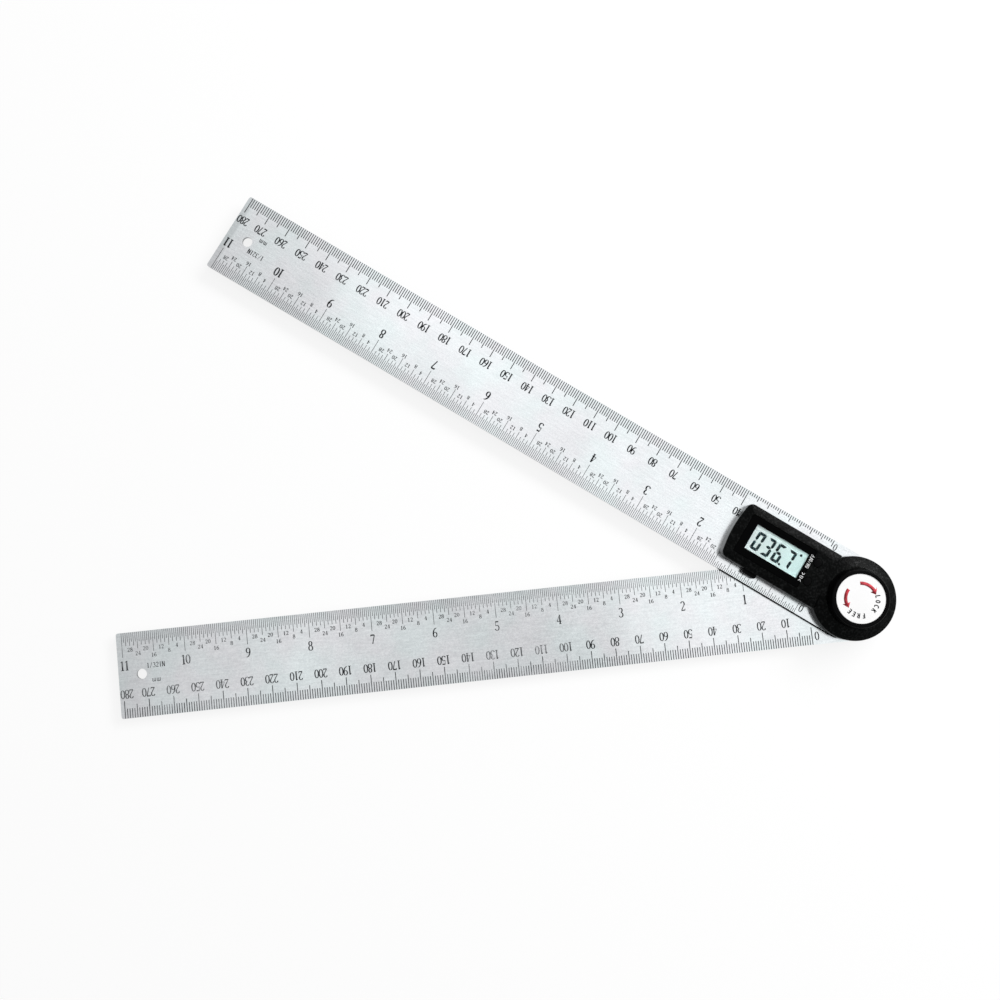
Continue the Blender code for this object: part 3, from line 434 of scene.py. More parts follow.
class Strokes:
    """Centre lines and widths of strokes, gathered before they become ribbons."""

    def __init__(self):
        self.lines = []
        self.bows = []

    def add_figure(self, figure, height, middle, across, weight, stretch):
        """One figure round the middle of its box, where across is its unit vector of writing.

        Upright strokes are thick and level ones thin, as the sine of the stroke's slope gives.
        """
        across = np.asarray(across, float)
        upward = np.array([-across[1], across[0]])
        corner = middle - height * (FIGURE_MIDDLE * stretch * across + upward / 2)
        for numbers, fixed in FIGURES[figure]:
            straight = len(numbers) == 4
            if straight:
                shape = np.array(numbers).reshape(2, 2)
            else:
                shape = arc(numbers[:2], numbers[2:4], *numbers[4:], ARC_STEPS)
            run = np.gradient(shape, axis=0)
            slope = np.abs(run[:, 1]) / np.linalg.norm(run, axis=1)
            width = THIN_STROKE + (THICK_STROKE - THIN_STROKE) * slope ** 1.5
            if fixed:
                width = np.full(len(shape), fixed)
            placed = corner + height * (stretch * shape[:, :1] * across + shape[:, 1:] * upward)
            (self.lines if straight else self.bows).append((placed, width * height * weight))

    def add_text(self, text, height, centre, across, pitch, weight=1.0, stretch=1.0):
        """A row of figures, centred on a point, each a pitch from the one before."""
        for k, figure in enumerate(text):
            place = centre + np.multiply(across, pitch * (k - (len(text) - 1) / 2))
            self.add_figure(figure, height, place, across, weight, stretch)

    def add_bent_text(self, text, height, radius, middle, step, weight, stretch):
        """A row of figures clockwise on a circle, tops outwards, each a step from the last."""
        for k, figure in enumerate(text):
            angle = math.radians(middle + ((len(text) - 1) / 2 - k) * step)
            outward = np.array([math.cos(angle), math.sin(angle)])
            across = outward[1], -outward[0]
            self.add_figure(figure, height, outward * radius, across, weight, stretch)

    def piece(self, name, low, high, turn=0.0):
        """All the strokes as one piece of ink between two heights."""
        groups = []
        for strokes in filter(None, (self.lines, self.bows)):
            lines, widths = (np.array(part) for part in zip(*strokes))
            groups.append(ribbons(lines, widths, low, high))
        return joined(name, groups, turn)


# Materials: shared patterns give masks and values for the finishes below

def pattern_group(pattern):
    """A node group from a pattern: a function of a place and a scale that gives named values."""
    group = bpy.data.node_groups.new(pattern.__name__, "ShaderNodeTree")
    sockets = group.interface
    sockets.new_socket("Vector", in_out="INPUT", socket_type="NodeSocketVector")
    sockets.new_socket("Scale", in_out="INPUT", socket_type="NodeSocketFloat")
    wires = Wires(group)
    given = wires.node("NodeGroupInput").outputs
    values = pattern(wires, given["Vector"], given["Scale"])
    for label in values:
        sockets.new_socket(label, in_out="OUTPUT", socket_type="NodeSocketFloat")
    wires.node("NodeGroupOutput", values)
    return group


class Wires:
    """Short words for laying nodes in one tree and linking them."""

    def __init__(self, tree):
        self.tree = tree

    def node(self, kind, inputs=None, **settings):
        """A node with its settings, its inputs linked or set."""
        item = self.tree.nodes.new(kind)
        for key, value in settings.items():
            setattr(item, key, value)
        for key, value in (inputs or {}).items():
            self.feed(item.inputs[key], value)
        return item

    def feed(self, socket, value):
        """Links another node's socket, or sets a plain value."""
        if isinstance(value, bpy.types.NodeSocket):
            self.tree.links.new(value, socket)
        else:
            socket.default_value = value

    def math(self, operation, *values):
        """The result of one math node."""
        return self.node("ShaderNodeMath", dict(enumerate(values)), operation=operation).outputs[0]

    def axes(self, place):
        """The three coordinates of a place."""
        return self.node("ShaderNodeSeparateXYZ", {"Vector": place}).outputs

    def noise(self, vector, scale, detail=3.0, roughness=0.5):
        """Fractal noise from 0 to 1 at a place."""
        item = self.node("ShaderNodeTexNoise", {"Vector": vector, "Scale": scale,
                                                "Detail": detail, "Roughness": roughness})
        return item.outputs["Fac"]

    def remap(self, value, low, high, to_low=0.0, to_high=1.0):
        """A value from one range to another, held at its ends."""
        item = self.node("ShaderNodeMapRange", {"Value": value, "From Min": low, "From Max": high,
                                                "To Min": to_low, "To Max": to_high})
        return item.outputs["Result"]

    def mix(self, share, first, second, blend="MIX"):
        """A colour between two colours, or the second blended over the first."""
        item = self.node("ShaderNodeMix", {"Factor": share, 6: first, 7: second},
                         data_type="RGBA", blend_type=blend)
        return item.outputs[2]

    def multiply(self, first, second):
        """Two colours multiplied."""
        return self.mix(1.0, first, second, "MULTIPLY")

    def bump(self, height, strength, distance):
        """Normals raised by a height."""
        item = self.node("ShaderNodeBump", {"Height": height, "Strength": strength,
                                            "Distance": distance})
        return item.outputs["Normal"]

    def shared(self, pattern, place, scale):
        """What a shared pattern gives at a place, by the names of its outputs.

        The pattern's node group is made when it is first asked for.
        """
        tree = bpy.data.node_groups.get(pattern.__name__) or pattern_group(pattern)
        item = self.node("ShaderNodeGroup", {"Vector": place, "Scale": scale}, node_tree=tree)
        return item.outputs


def rgba(colour, share=1.0):
    """A colour with full alpha, scaled by a share."""
    return tuple(min(1.0, part * share) for part in colour) + (1.0,)


def grey(level):
    """A neutral colour, which may be above 1 where it multiplies another."""
    return (level, level, level, 1.0)


def moulded_grain(wires, place, scale):
    """Spark-eroded mould grain: noise cells of a few tenths of a millimetre."""
    sharp = wires.remap(wires.noise(place, scale, 2.0, 0.6), 0.35, 0.65)
    coarse = wires.noise(place, wires.math("MULTIPLY", scale, 0.28), 2.0)
    height = wires.math("ADD", wires.math("MULTIPLY", sharp, 0.7),
                        wires.math("MULTIPLY", coarse, 0.5))
    return {"Height": height, "Mottle": wires.math("MULTIPLY", coarse, sharp)}


def rolled_satin(wires, place, scale):
    """Rolled and etched steel: fine grain, slow clouds and faint hairlines along the blade."""
    drawn = wires.node("ShaderNodeMapping", {"Vector": place, "Scale": (0.12, 1.0, 1.0)})
    hair = wires.noise(drawn.outputs["Vector"], 1300.0, 3.0, 0.7)
    return {"Grain": wires.noise(place, scale, 4.0, 0.65),
            "Cloud": wires.noise(place, 42.0, 4.0, 0.55),
            "Hairline": wires.remap(hair, 0.3, 0.7)}


def sparse_scratches(wires, place, scale):
    """Sparse fine scratches in all directions: the edges between bent noise cells.

    The place is moved by the square of a slow noise's colour before the cells are laid.
    """
    slow = wires.node("ShaderNodeTexNoise", {"Vector": place, "Scale": 30.0, "Detail": 1.0})
    colour = slow.outputs["Color"]
    moved = wires.node("ShaderNodeVectorMath", {0: colour, 1: colour, 2: place},
                       operation="MULTIPLY_ADD")
    cells = wires.node("ShaderNodeTexVoronoi", {"Vector": moved.outputs["Vector"],
                                                "Scale": scale}, feature="DISTANCE_TO_EDGE")
    line = wires.remap(cells.outputs["Distance"], 0.0, 0.012, 1.0, 0.0)
    gate = wires.remap(wires.noise(place, 55.0, 2.0), 0.52, 0.66)
    return {"Mask": wires.math("MULTIPLY", line, gate)}


class Finish(Wires):
    """A new material: its nodes, and its object coordinates turned to an arm's frame."""

    def __init__(self, name, turn=0.0):
        self.material = bpy.data.materials.new(name)
        self.material.use_nodes = True
        super().__init__(self.material.node_tree)
        place = self.node("ShaderNodeTexCoord").outputs["Object"]
        turned = self.node("ShaderNodeMapping", {"Vector": place, "Rotation": (0, 0, -turn)})
        self.place = turned.outputs["Vector"]

    def made(self, **sockets):
        """The material, with sockets of its shader set or linked; an underscore is a space."""
        shader = self.tree.nodes["Principled BSDF"]
        for label, value in sockets.items():
            self.feed(shader.inputs[label.replace("_", " ")], value)
        return self.material


def plain_finish(name, colour, roughness, metallic, variation, scale, bump):
    """A finish whose colour and roughness vary slowly, with fine unevenness in its surface."""
    look = Finish(name)
    cloud = look.remap(look.noise(look.place, scale / 6), 0.3, 0.7)
    speck = look.noise(look.place, scale * 2, 2.0)
    pale, dark = rgba(colour, 1 + variation), rgba(colour, 1 - variation)
    return look.made(
        Base_Color=look.mix(cloud, dark, pale), Metallic=metallic,
        Roughness=look.remap(speck, 0.3, 0.7, roughness * 0.88, roughness * 1.12),
        Normal=look.bump(speck, bump, 0.02 * MM))


def grained_finish(name, colour, roughness, specular, depth):
    """Black moulding with mould grain: colour and coat follow the grain's mottle.

    Where the mesh marks the end wall, the skin is smooth and glossier.
    """
    look = Finish(name)
    grain = look.shared(moulded_grain, look.place, 1300.0)
    wall = look.node("ShaderNodeAttribute", attribute_name="wall").outputs["Fac"]
    rough_height = look.math("MULTIPLY", grain["Height"], look.math("SUBTRACT", 1.0, wall))
    speck = look.remap(grain["Mottle"], 0.25, 0.55, 0.0, 0.13)
    return look.made(
        Base_Color=look.mix(grain["Mottle"], rgba(colour, 0.5), rgba(colour, 2.6)),
        Roughness=look.remap(grain["Mottle"], 0.0, 0.8, roughness * 0.85, roughness * 1.15),
        Normal=look.bump(rough_height, depth, 0.1 * MM), Specular_IOR_Level=specular,
        Coat_Weight=look.math("MAXIMUM", look.math("MULTIPLY", wall, 0.9), speck),
        Coat_Roughness=0.3)


def smooth_plastic_finish(name, colour, roughness, specular):
    """Polished moulding with slight waviness and a few hair scratches."""
    look = Finish(name)
    wave = look.noise(look.place, 260.0, 2.0)
    marks = look.shared(sparse_scratches, look.place, 220.0)
    return look.made(
        Base_Color=look.mix(marks["Mask"], rgba(colour), rgba(colour, 3.0)),
        Roughness=look.remap(wave, 0.3, 0.7, roughness * 0.85, roughness * 1.2),
        Normal=look.bump(wave, 0.15, 0.03 * MM), Specular_IOR_Level=specular)


# Stops of the steel's tone, a painted reflection of the lamps along each blade, are in
# millimetres from the pivot, on a ramp of this reach
REFLECTION_REACH = 300
# Painted shadow of the gap between the blades: it starts this far from the pivot and reaches
# this far up from the blade's edge
GAP_SHADOW_START = 52 * MM
GAP_SHADOW_WIDTH = 0.3 * MM


def steel_finish(name, colour, roughness, turn, face, reflection_tones, gap_shadow):
    """Satin stainless steel: grain and tinted clouds in its colour, hairlines in its roughness.

    Its tone changes slowly along the arm by the stops given, a painted reflection of the lamps.
    The cut edges are darker, and a share of painted shadow blackens the lower one near the
    pivot, where the other arm passes it: the shade of the gap between the blades.
    """
    look = Finish(name, turn)
    satin = look.shared(rolled_satin, look.place, 1500.0)
    marks = look.shared(sparse_scratches, look.place, 90.0)
    axes = look.axes(look.place)
    # Painted reflection: the stops make the steel lighter and darker along the arm, as lamps mirror
    ramp = look.node("ShaderNodeValToRGB", {"Fac": look.remap(axes["X"], 0, -REFLECTION_REACH * MM)})
    stops = ramp.color_ramp.elements
    for k, (reach, tone) in enumerate(reflection_tones):
        stop = stops[k] if k < 2 else stops.new(reach / REFLECTION_REACH)
        stop.position = reach / REFLECTION_REACH
        stop.color = tuple(part * tone for part in colour) + (1.0,)
    warm = look.mix(look.remap(look.noise(look.place, 70.0, 2.0), 0.35, 0.65),
                    (0.965, 1.0, 0.995, 1.0), (1.0, 0.975, 0.985, 1.0))
    tinted = look.multiply(ramp.outputs["Color"], warm)
    clouds = look.mix(look.remap(satin["Cloud"], 0.32, 0.68),
                      look.multiply(tinted, grey(0.93)), tinted)
    grain = look.mix(look.remap(satin["Grain"], 0.36, 0.64), (0.86, 0.86, 0.87, 1), grey(1.0))
    drawn = look.mix(satin["Hairline"], grey(0.935), grey(1.065))
    face_colour = look.multiply(clouds, look.multiply(grain, drawn))
    scored = look.mix(look.math("MULTIPLY", marks["Mask"], 0.35), face_colour, rgba(colour, 1.25))
    edge = look.remap(axes["Z"], face - 0.12 * MM, face - 0.06 * MM, 1.0, 0.0)
    # Painted shadow: the lower edge near the pivot turns black and not metallic, the gap's shade
    gap_shadowed = look.math(
        "MULTIPLY", look.remap(axes["X"], -GAP_SHADOW_START - MM, MM - GAP_SHADOW_START, 0.0, gap_shadow),
        look.remap(axes["Y"], 0.9 * GAP_SHADOW_WIDTH - BLADE_HALF, 1.1 * GAP_SHADOW_WIDTH - BLADE_HALF,
                   1.0, 0.0))
    whole = look.mix(gap_shadowed, look.mix(edge, scored, rgba(colour, 0.35)), grey(0.004))
    uneven = look.math("ADD", look.math("MULTIPLY", satin["Grain"], 0.16),
                       look.math("MULTIPLY", satin["Hairline"], 0.05))
    height = look.math("ADD", satin["Grain"], look.math("MULTIPLY", satin["Hairline"], 0.25))
    return look.made(
        Base_Color=whole, Metallic=look.math("SUBTRACT", 1.0, gap_shadowed),
        Roughness=look.math("ADD", uneven, roughness - 0.1),
        Specular_IOR_Level=0.0, Normal=look.bump(height, 0.12, 0.02 * MM))


def ink_finish(name, colour, roughness=0.6, worn=0.0):
    """Baked ink: slightly worn, so its colour varies from line to line.

    A worn share makes it paler, towards a steel grey, more and more towards the arm's far end
    and in a patch half way along.
    """
    look = Finish(name)
    wear = look.noise(look.place, 700.0, 3.0, 0.6)
    inked = look.mix(look.remap(wear, 0.4, 0.75), rgba(colour), rgba(colour, 2.6))
    if worn:
        along = look.axes(look.place)["X"]
        far = look.remap(along, -225 * MM, -275 * MM, 0.3 * worn, worn)
        off_middle = look.math("ABSOLUTE", look.math("ADD", along, 137 * MM))
        half_way = look.remap(off_middle, 34 * MM, 14 * MM, 0.0, 1.3 * worn)
        patch = look.remap(look.noise(look.place, 160.0), 0.35, 0.6)
        paled = look.math("MULTIPLY", look.math("MAXIMUM", far, half_way), patch)
        inked = look.mix(paled, inked, (0.3, 0.31, 0.32, 1))
    return look.made(
        Base_Color=inked, Specular_IOR_Level=0.1,
        Roughness=look.remap(wear, 0.3, 0.7, roughness * 0.9, roughness * 1.1))


def display_finish(name, colour):
    """Liquid crystal field: greyer towards the far end, paler along its long edges."""
    look = Finish(name, UPPER_TURN)
    axes = look.axes(look.place)
    far = look.remap(axes["X"], VISIBLE_HIGH[0], VISIBLE_LOW[0])
    toned = look.mix(far, rgba(colour), (colour[0] * 1.08, colour[1] * 0.9, colour[2] * 0.91, 1))
    middle = (VISIBLE_LOW[1] + VISIBLE_HIGH[1]) / 2
    aside = look.math("ABSOLUTE", look.math("SUBTRACT", axes["Y"], middle))
    deep = look.remap(aside, 3.2 * MM, 5.2 * MM, 0.88, 1.06)
    level = look.node("ShaderNodeCombineXYZ", {"X": deep, "Y": deep, "Z": deep}).outputs[0]
    cells = look.noise(look.place, 5200.0, 1.0)
    share = look.math("MULTIPLY", cells, 0.1)
    return look.made(
        Base_Color=look.mix(share, look.multiply(toned, level), rgba(colour, 0.8)),
        Roughness=look.remap(cells, 0.3, 0.7, 0.4, 0.5), Specular_IOR_Level=0.1)


def clear_finish(name):
    """Clear acrylic with the faintest dust on it."""
    look = Finish(name)
    dust = look.noise(look.place, 2200.0, 2.0)
    return look.made(
        Base_Color=rgba((0.97, 0.99, 0.99)), Transmission_Weight=1.0, IOR=1.13,
        Roughness=look.remap(dust, 0.55, 0.8, 0.0, 0.03))


def dress(node, material):
    """Gives a CAD node its finish."""
    slots = frame["nodes"][node].data.materials
    slots.clear()
    slots.append(material)


def place_piece(piece, material, body, replaced=()):
    """Gives a new piece its finish and its body, and the nodes that it stands for."""
    piece.data.materials.clear()
    piece.data.materials.append(material)
    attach(piece, body)
    if replaced:
        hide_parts(*replaced)
    return piece


# Scales

def line_outlines(places, starts, ends, width):
    """Four-cornered outlines of lines that run across the blade at places along it."""
    left, right = -places - width / 2, -places + width / 2
    corners = (left, starts), (right, starts), (right, ends), (left, ends)
    return np.stack([np.stack(corner, -1) for corner in corners], 1)


def line_lengths(counts, steps, lines):
    """Length of each line: that of the largest step that divides its count."""
    largest_first = sorted(zip(steps, lines), reverse=True)
    return np.select([counts % step == 0 for step, _ in largest_first],
                     [line for _, line in largest_first])


EDGE_MARGIN = 0.06 * MM
MILLIMETRE_STEPS = (1, 5, 10)
INCH_STEPS = (1, 2, 8, 16, 32)
LAST_NUMBER_REACH = 295.7 * MM
LAST_INCH_REACH = 295.9 * MM
# Beside the housing, the lines are shorter up to these counts
COVERED_MILLIMETRES = 40
COVERED_32NDS = 48
COVERED_MM_LINES = (1.4 * MM, 2.4 * MM, 2.8 * MM)
COVERED_INCH_LINES = (1.8 * MM, 2.7 * MM, 4.6 * MM, 4.6 * MM, 4.6 * MM)


def scale_lines(settings, millimetre_side, covered):
    """Outlines of all the lines on one blade, those beside a housing shorter where covered."""
    edge = BLADE_HALF - EDGE_MARGIN
    scales = ((millimetre_side, settings.last_millimetre, MM, settings.line_width,
               MILLIMETRE_STEPS, settings.millimetre_lines, COVERED_MM_LINES,
               COVERED_MILLIMETRES),
              (-millimetre_side, 32 * settings.last_inch, INCH / 32, settings.inch_line_width,
               INCH_STEPS, settings.inch_lines, COVERED_INCH_LINES, COVERED_32NDS))
    for side, last, unit, width, steps, lines, short_lines, covered_count in scales:
        counts = np.arange(last + 1)
        lengths = line_lengths(counts, steps, lines)
        if covered:
            short = line_lengths(counts, steps, short_lines)
            lengths = np.where(counts < covered_count, short, lengths)
        starts = np.full(len(counts), side * edge)
        yield line_outlines(settings.zero_reach + counts * unit, starts,
                            side * (edge - lengths), width)


# How each blade is numbered. Tens and inches each have their first number, its height as a
# share of the setting, its place across the blade and its pitch in millimetres, and its
# weight. A zero has its height, its two places and its pitch, and a unit mark its place across
# and its weight. The inch scale is written along its way, and the numbers between its inches
# stand in three rows, of eighths, quarters and halves, beyond a number of 32nds.
NUMBERING = {
    "lower": {"tens": (10, 1.0, -7.5, 1.75, 1.08), "inches": (1, 1.07, 4.0, 1.85, 1.1),
              "zeros": ((1.0, -15.0, -13.8, 1.75),), "inch_way": (1, 0),
              "rows": (10.2, 8.5, 7.3), "from_32nd": 0,
              "mm": (-3.2, 1.3), "1/32IN": (3.2, 1.15)},
    "upper": {"tens": (40, 0.96, 6.95, 1.7, 1.2), "inches": (2, 1.08, -4.4, 1.85, 1.3),
              "zeros": ((0.8267, -15.4, 14.8, 1.7), (0.88, -15.2, -13.9, 1.7)),
              "inch_way": (-1, 0), "rows": (-10.45, -9.0, -7.75), "from_32nd": COVERED_32NDS + 3,
              "mm": (2.9, 1.5), "1/32IN": (-3.0, 1.25)},
}
MILLIMETRE_WAY = (-1, 0)
SMALL_TYPE = (1.15 * MM, 1.5, 1.25)
# Unit marks: height and pitch of each, and the distance from the pivot and stretch of both
UNIT_TYPE = {"mm": (2.2 * MM, 1.9 * MM), "1/32IN": (2.1 * MM, 1.25 * MM)}
UNIT_REACH = 283.3 * MM
UNIT_STRETCH = 1.1


def blade_numbers(settings, plan):
    """Numbers and unit marks of one blade, by its plan in the table above."""
    strokes = Strokes()
    large = settings.number_height
    for key, last, counted, step, end, way in (
            ("tens", settings.last_millimetre, 10, MM, LAST_NUMBER_REACH, MILLIMETRE_WAY),
            ("inches", settings.last_inch, 1, INCH, LAST_INCH_REACH, plan["inch_way"])):
        first, share, across, pitch, weight = plan[key]
        for number in range(first, last + 1, counted):
            reach = min(settings.zero_reach + number * step, end)
            strokes.add_text(str(number), share * large, (-reach, across * MM), way, pitch * MM,
                             weight)
    for share, x, y, pitch in plan["zeros"]:
        strokes.add_text("0", share * large, (x * MM, y * MM), MILLIMETRE_WAY, pitch * MM)
    eighths, quarters, halves = plan["rows"]
    for count in range(0, 32 * settings.last_inch, 4):
        part = count % 32
        if part and count > plan["from_32nd"]:
            across = eighths if part % 8 else quarters if part % 16 else halves
            reach = settings.zero_reach + count / 32 * INCH
            strokes.add_text(str(part), settings.small_number_height, (-reach, across * MM),
                             plan["inch_way"], *SMALL_TYPE)
    for unit, way in (("mm", MILLIMETRE_WAY), ("1/32IN", plan["inch_way"])):
        height, pitch = UNIT_TYPE[unit]
        across, weight = plan[unit]
        strokes.add_text(unit, height, (-UNIT_REACH, across * MM), way, pitch, weight,
                         UNIT_STRETCH)
    return strokes


# Tone of the steel at distances from the pivot, in millimetres: painted reflection, lighter
# and darker bands where the lamps are mirrored along each blade
LOWER_REFLECTION_TONES = ((0, 0.98), (88, 1.0), (98, 0.93), (150, 0.95), (190, 1.02), (225, 1.08),
               (262, 0.98), (298, 0.85))
UPPER_REFLECTION_TONES = ((0, 1.0), (110, 1.0), (130, 0.97), (200, 1.07), (240, 1.05), (258, 0.95),
               (295.6, 0.96), (296.6, 0.76), (298, 0.8))


class FINDER_OT_blades(Operator):
    """Satin steel on both blades, with the cloud and hairlines along each arm"""
    bl_idname = "finder.blades"
    bl_label = "Blade steel"

    def execute(self, context):
        settings = context.scene.finder_blades
        # Each arm: its turn, its face, stops of painted reflection and a share of painted gap
        # shadow
        for arm, *places in (("lower", 0.0, LOWER_FACE, LOWER_REFLECTION_TONES, 0.0),
                             ("upper", UPPER_TURN, UPPER_FACE, UPPER_REFLECTION_TONES, 1.0)):
            look = steel_finish(f"{arm}_satin_steel", settings.steel, settings.roughness, *places)
            dress(f"{arm}_blade", look)
        return {"FINISHED"}


class FINDER_OT_scales(Operator):
    """Lines and numbers of both rules: thin prisms for lines, ribbons on arcs for figures"""
    bl_idname = "finder.scales"
    bl_label = "Scales"

    def execute(self, context):
        settings = context.scene.finder_blades
        arms = (("lower", 0.0, LOWER_FACE, -1, False, ink_finish("worn_scale_ink", settings.ink,
                                                                 worn=0.75)),
                ("upper", UPPER_TURN, UPPER_FACE, 1, True, ink_finish("scale_ink", settings.ink)))
        for arm, turn, face, side, covered, ink in arms:
            top = face + settings.ink_height
            names = ("millimetre_lines", "inch_lines")
            for name, outlines in zip(names, scale_lines(settings, side, covered)):
                piece = joined(f"{arm}_{name}", [prisms(outlines, face, top)], turn)
                place_piece(piece, ink, f"{arm}_arm")
            numbers = blade_numbers(settings, NUMBERING[arm])
            place_piece(numbers.piece(f"{arm}_numbers", face, top, turn), ink, f"{arm}_arm")
        return {"FINISHED"}


# Housing: sizes that the solids have

BODY_NEAR = DRUM_RADIUS - 4.0 * MM
BODY_HALF = 12.2 * MM
BODY_CORNER = 2.6 * MM
BODY_BULGE = 0.9 * MM
LEAST_CORNER = 0.35 * MM
BODY_FOOT = 1.0 * MM
EDGE_SWEEP = 50
EDGE_STEPS = 6
MARGIN = 3.7 * MM
MARGIN_SHARES = (0.97, 0.8, 0.6, 0.4, 0.2, 0.0)
MARGIN_POWER = 1.2
BODY_FAR = -HOUSING_LOW[0] - BODY_BULGE
WALL = 1.4 * MM
ROOF = 1.2 * MM
CEILING = FACE - ROOF
TROUGH = FACE - 1.0 * MM
TROUGH_RADIUS = DRUM_RADIUS - 0.3 * MM
DRUM_SHOULDER = SHELL_BOTTOM + 4.0 * MM
DRUM_TOP = FACE - 0.3 * MM
DRUM_CONE_RADIUS = DRUM_RADIUS - 4.4 * MM
DRUM_EASE = 0.3 * MM
SEAT_EASE = 0.1 * MM
DRAWER_MIDDLE = (DRAWER_LOW[0] + DRAWER_HIGH[0]) / 2
DRAWER_CLEARANCE = 0.1 * MM
SLOT_HALF = (DRAWER_HIGH[0] - DRAWER_LOW[0]) / 2 + DRAWER_CLEARANCE
SLOT_TOP = 8.6 * MM
BAY_NEAR = TROUGH_RADIUS + WALL
BAY_FAR = BODY_FAR - WALL / 2
BAY_CORNER = 1.2 * MM
SLOT_CORNER = 0.05 * MM
RECESS_CORNER = 0.8 * MM
OPENING_CORNER = 0.2 * MM
OVERRUN = 0.5 * MM
GAP = 0.08 * MM
KEYS = ("power_button", "zero_button")
KEY_HOLE_RADIUS = 1.85 * MM
CORNER_STEPS = 10
SIDE_STEPS = 12
DRUM_STEPS = 240
KEY_STEPS = 64


def bay_outline(near, far, half, corner, bulge):
    """The display body from above: square near end, round corners, slightly bowed far end.

    The bow is an arc through the corners' ends that rises by the bulge in its middle. The
    second side is the first one mirrored.
    """
    rise = half - corner
    bow_radius = (rise * rise + bulge * bulge) / (2 * bulge)
    lean = math.degrees(math.asin(rise / bow_radius))
    corner_x = corner - far
    along = np.linspace(-near, corner_x, SIDE_STEPS + 1)[:-1]
    side = np.concatenate([np.stack([along, np.full(SIDE_STEPS, half)], -1),
                           arc((corner_x, rise), (corner, corner), 90, 180 - lean, CORNER_STEPS)])
    bow = arc((bow_radius - far - bulge, 0), (bow_radius, bow_radius), 180 - lean, 180 + lean,
              3 * CORNER_STEPS)
    return np.concatenate([side, bow[1:-1], side[::-1] * (1, -1)])


def body_rings(edge_radius, fall):
    """The display body: its outline carried up the wall, round the edge and up a domed margin.

    Each ring is the outline drawn in by a distance, at a height. The edge is an arc of a
    circle, and the margin falls by a power of its distance from the window.
    """
    rim = FACE - fall
    turns = np.radians(np.linspace(0, EDGE_SWEEP, EDGE_STEPS + 1))
    edge = edge_radius * (1 - np.cos(turns))
    away = np.array(MARGIN_SHARES)
    drawn = [0.0, 0.0, *edge, *(MARGIN - away * (MARGIN - edge[-1]))]
    heights = [SHELL_BOTTOM, SHELL_BOTTOM + BODY_FOOT,
               *(rim - edge_radius * (math.sin(turns[-1]) - np.sin(turns))),
               *(FACE - fall * away ** MARGIN_POWER)]
    outlines = [bay_outline(BODY_NEAR, BODY_FAR - inset, BODY_HALF - inset,
                            max(BODY_CORNER - inset, LEAST_CORNER), BODY_BULGE) for inset in drawn]
    return stacked(outlines, heights)


def drum_rings():
    """The drum: a foot, an upright wall, an eased shoulder and a cone up to the knob's seat."""
    slope = math.atan2(DRUM_TOP - DRUM_SHOULDER, DRUM_RADIUS - DRUM_CONE_RADIUS)
    below = DRUM_EASE * math.tan((math.pi / 2 - slope) / 2)
    shoulder = arc((DRUM_RADIUS - DRUM_EASE, DRUM_SHOULDER - below), (DRUM_EASE, DRUM_EASE),
                   0, 90 - math.degrees(slope), 5)
    seat = [(DRUM_CONE_RADIUS + SEAT_EASE, DRUM_TOP - SEAT_EASE / 2),
            (DRUM_CONE_RADIUS - SEAT_EASE, DRUM_TOP)]
    return spun(np.concatenate([[(DRUM_RADIUS, SHELL_BOTTOM)], shoulder, seat]), DRUM_STEPS)


def housing_hollows():
    """Name and rings of every room, slot and hole that is cut out of the housing's shell."""
    low, high = SHELL_BOTTOM - OVERRUN, FACE + OVERRUN
    room = DRUM_RADIUS - WALL
    cavity = [(room, low), (room, DRUM_SHOULDER - WALL / 2),
              (DRUM_CONE_RADIUS - WALL / 3, DRUM_TOP - ROOF)]
    yield "drum_room", spun(cavity, DRUM_STEPS // 2)
    bay = bay_outline(BAY_NEAR, BAY_FAR, BODY_HALF - WALL, BAY_CORNER, BODY_BULGE / 2)
    yield "bay_room", upright(bay, low, CEILING)
    slot = rounded_box((DRAWER_MIDDLE - SLOT_HALF, -BODY_HALF - OVERRUN),
                       (DRAWER_MIDDLE + SLOT_HALF, OVERRUN - BODY_HALF + WALL), SLOT_CORNER, 2)
    yield "drawer_slot", upright(slot, low, SLOT_TOP)
    recess = rounded_box(WINDOW_LOW - GAP, WINDOW_HIGH + GAP, RECESS_CORNER)
    yield "window_recess", upright(recess, WINDOW_LOW[2] - GAP, high)
    opening = rounded_box(LCD_LOW - GAP, LCD_HIGH + GAP, OPENING_CORNER, 2)
    yield "display_opening", upright(opening, CEILING - OVERRUN, FACE)
    for key in KEYS:
        hole = [(KEY_HOLE_RADIUS, CEILING - OVERRUN), (KEY_HOLE_RADIUS, high)]
        yield f"{key}_hole", spun(hole, KEY_STEPS, sum(arm_box(key))[:2] / 2)


class FINDER_OT_housing(Operator):
    """Moulded shell: the body's outline carried along its edge profile, joined to the spun drum"""
    bl_idname = "finder.housing"
    bl_label = "Housing"

    def execute(self, context):
        settings = context.scene.finder_housing
        body = body_rings(settings.edge_radius, settings.margin_fall)
        shell = ring_solid("housing_shell", body, turn=UPPER_TURN)
        trough = spun([(TROUGH_RADIUS, TROUGH), (TROUGH_RADIUS, FACE + OVERRUN)], DRUM_STEPS)
        cut(shell, ring_solid("trough", trough, turn=UPPER_TURN))
        cut(shell, ring_solid("drum", drum_rings(), turn=UPPER_TURN), "UNION")
        for name, rings in housing_hollows():
            cut(shell, ring_solid(name, rings, turn=UPPER_TURN))
        shade(shell.data)
        mark_walls(shell.data)
        look = grained_finish("grained_black", settings.plastic, 0.38, 0.03, 0.5)
        place_piece(shell, look, "upper_arm", ["housing"])
        return {"FINISHED"}


# Window: two corners of the clear field that its border leaves open, and its own corners
VISIBLE_LOW = np.array([-48.5, -5.35]) * MM
VISIBLE_HIGH = np.array([-24.8, 5.55]) * MM
WINDOW_CORNER = 0.7 * MM
VISIBLE_CORNER = 0.25 * MM
PANE_CORNER = 0.2 * MM
WINDOW_EASE = 0.12 * MM


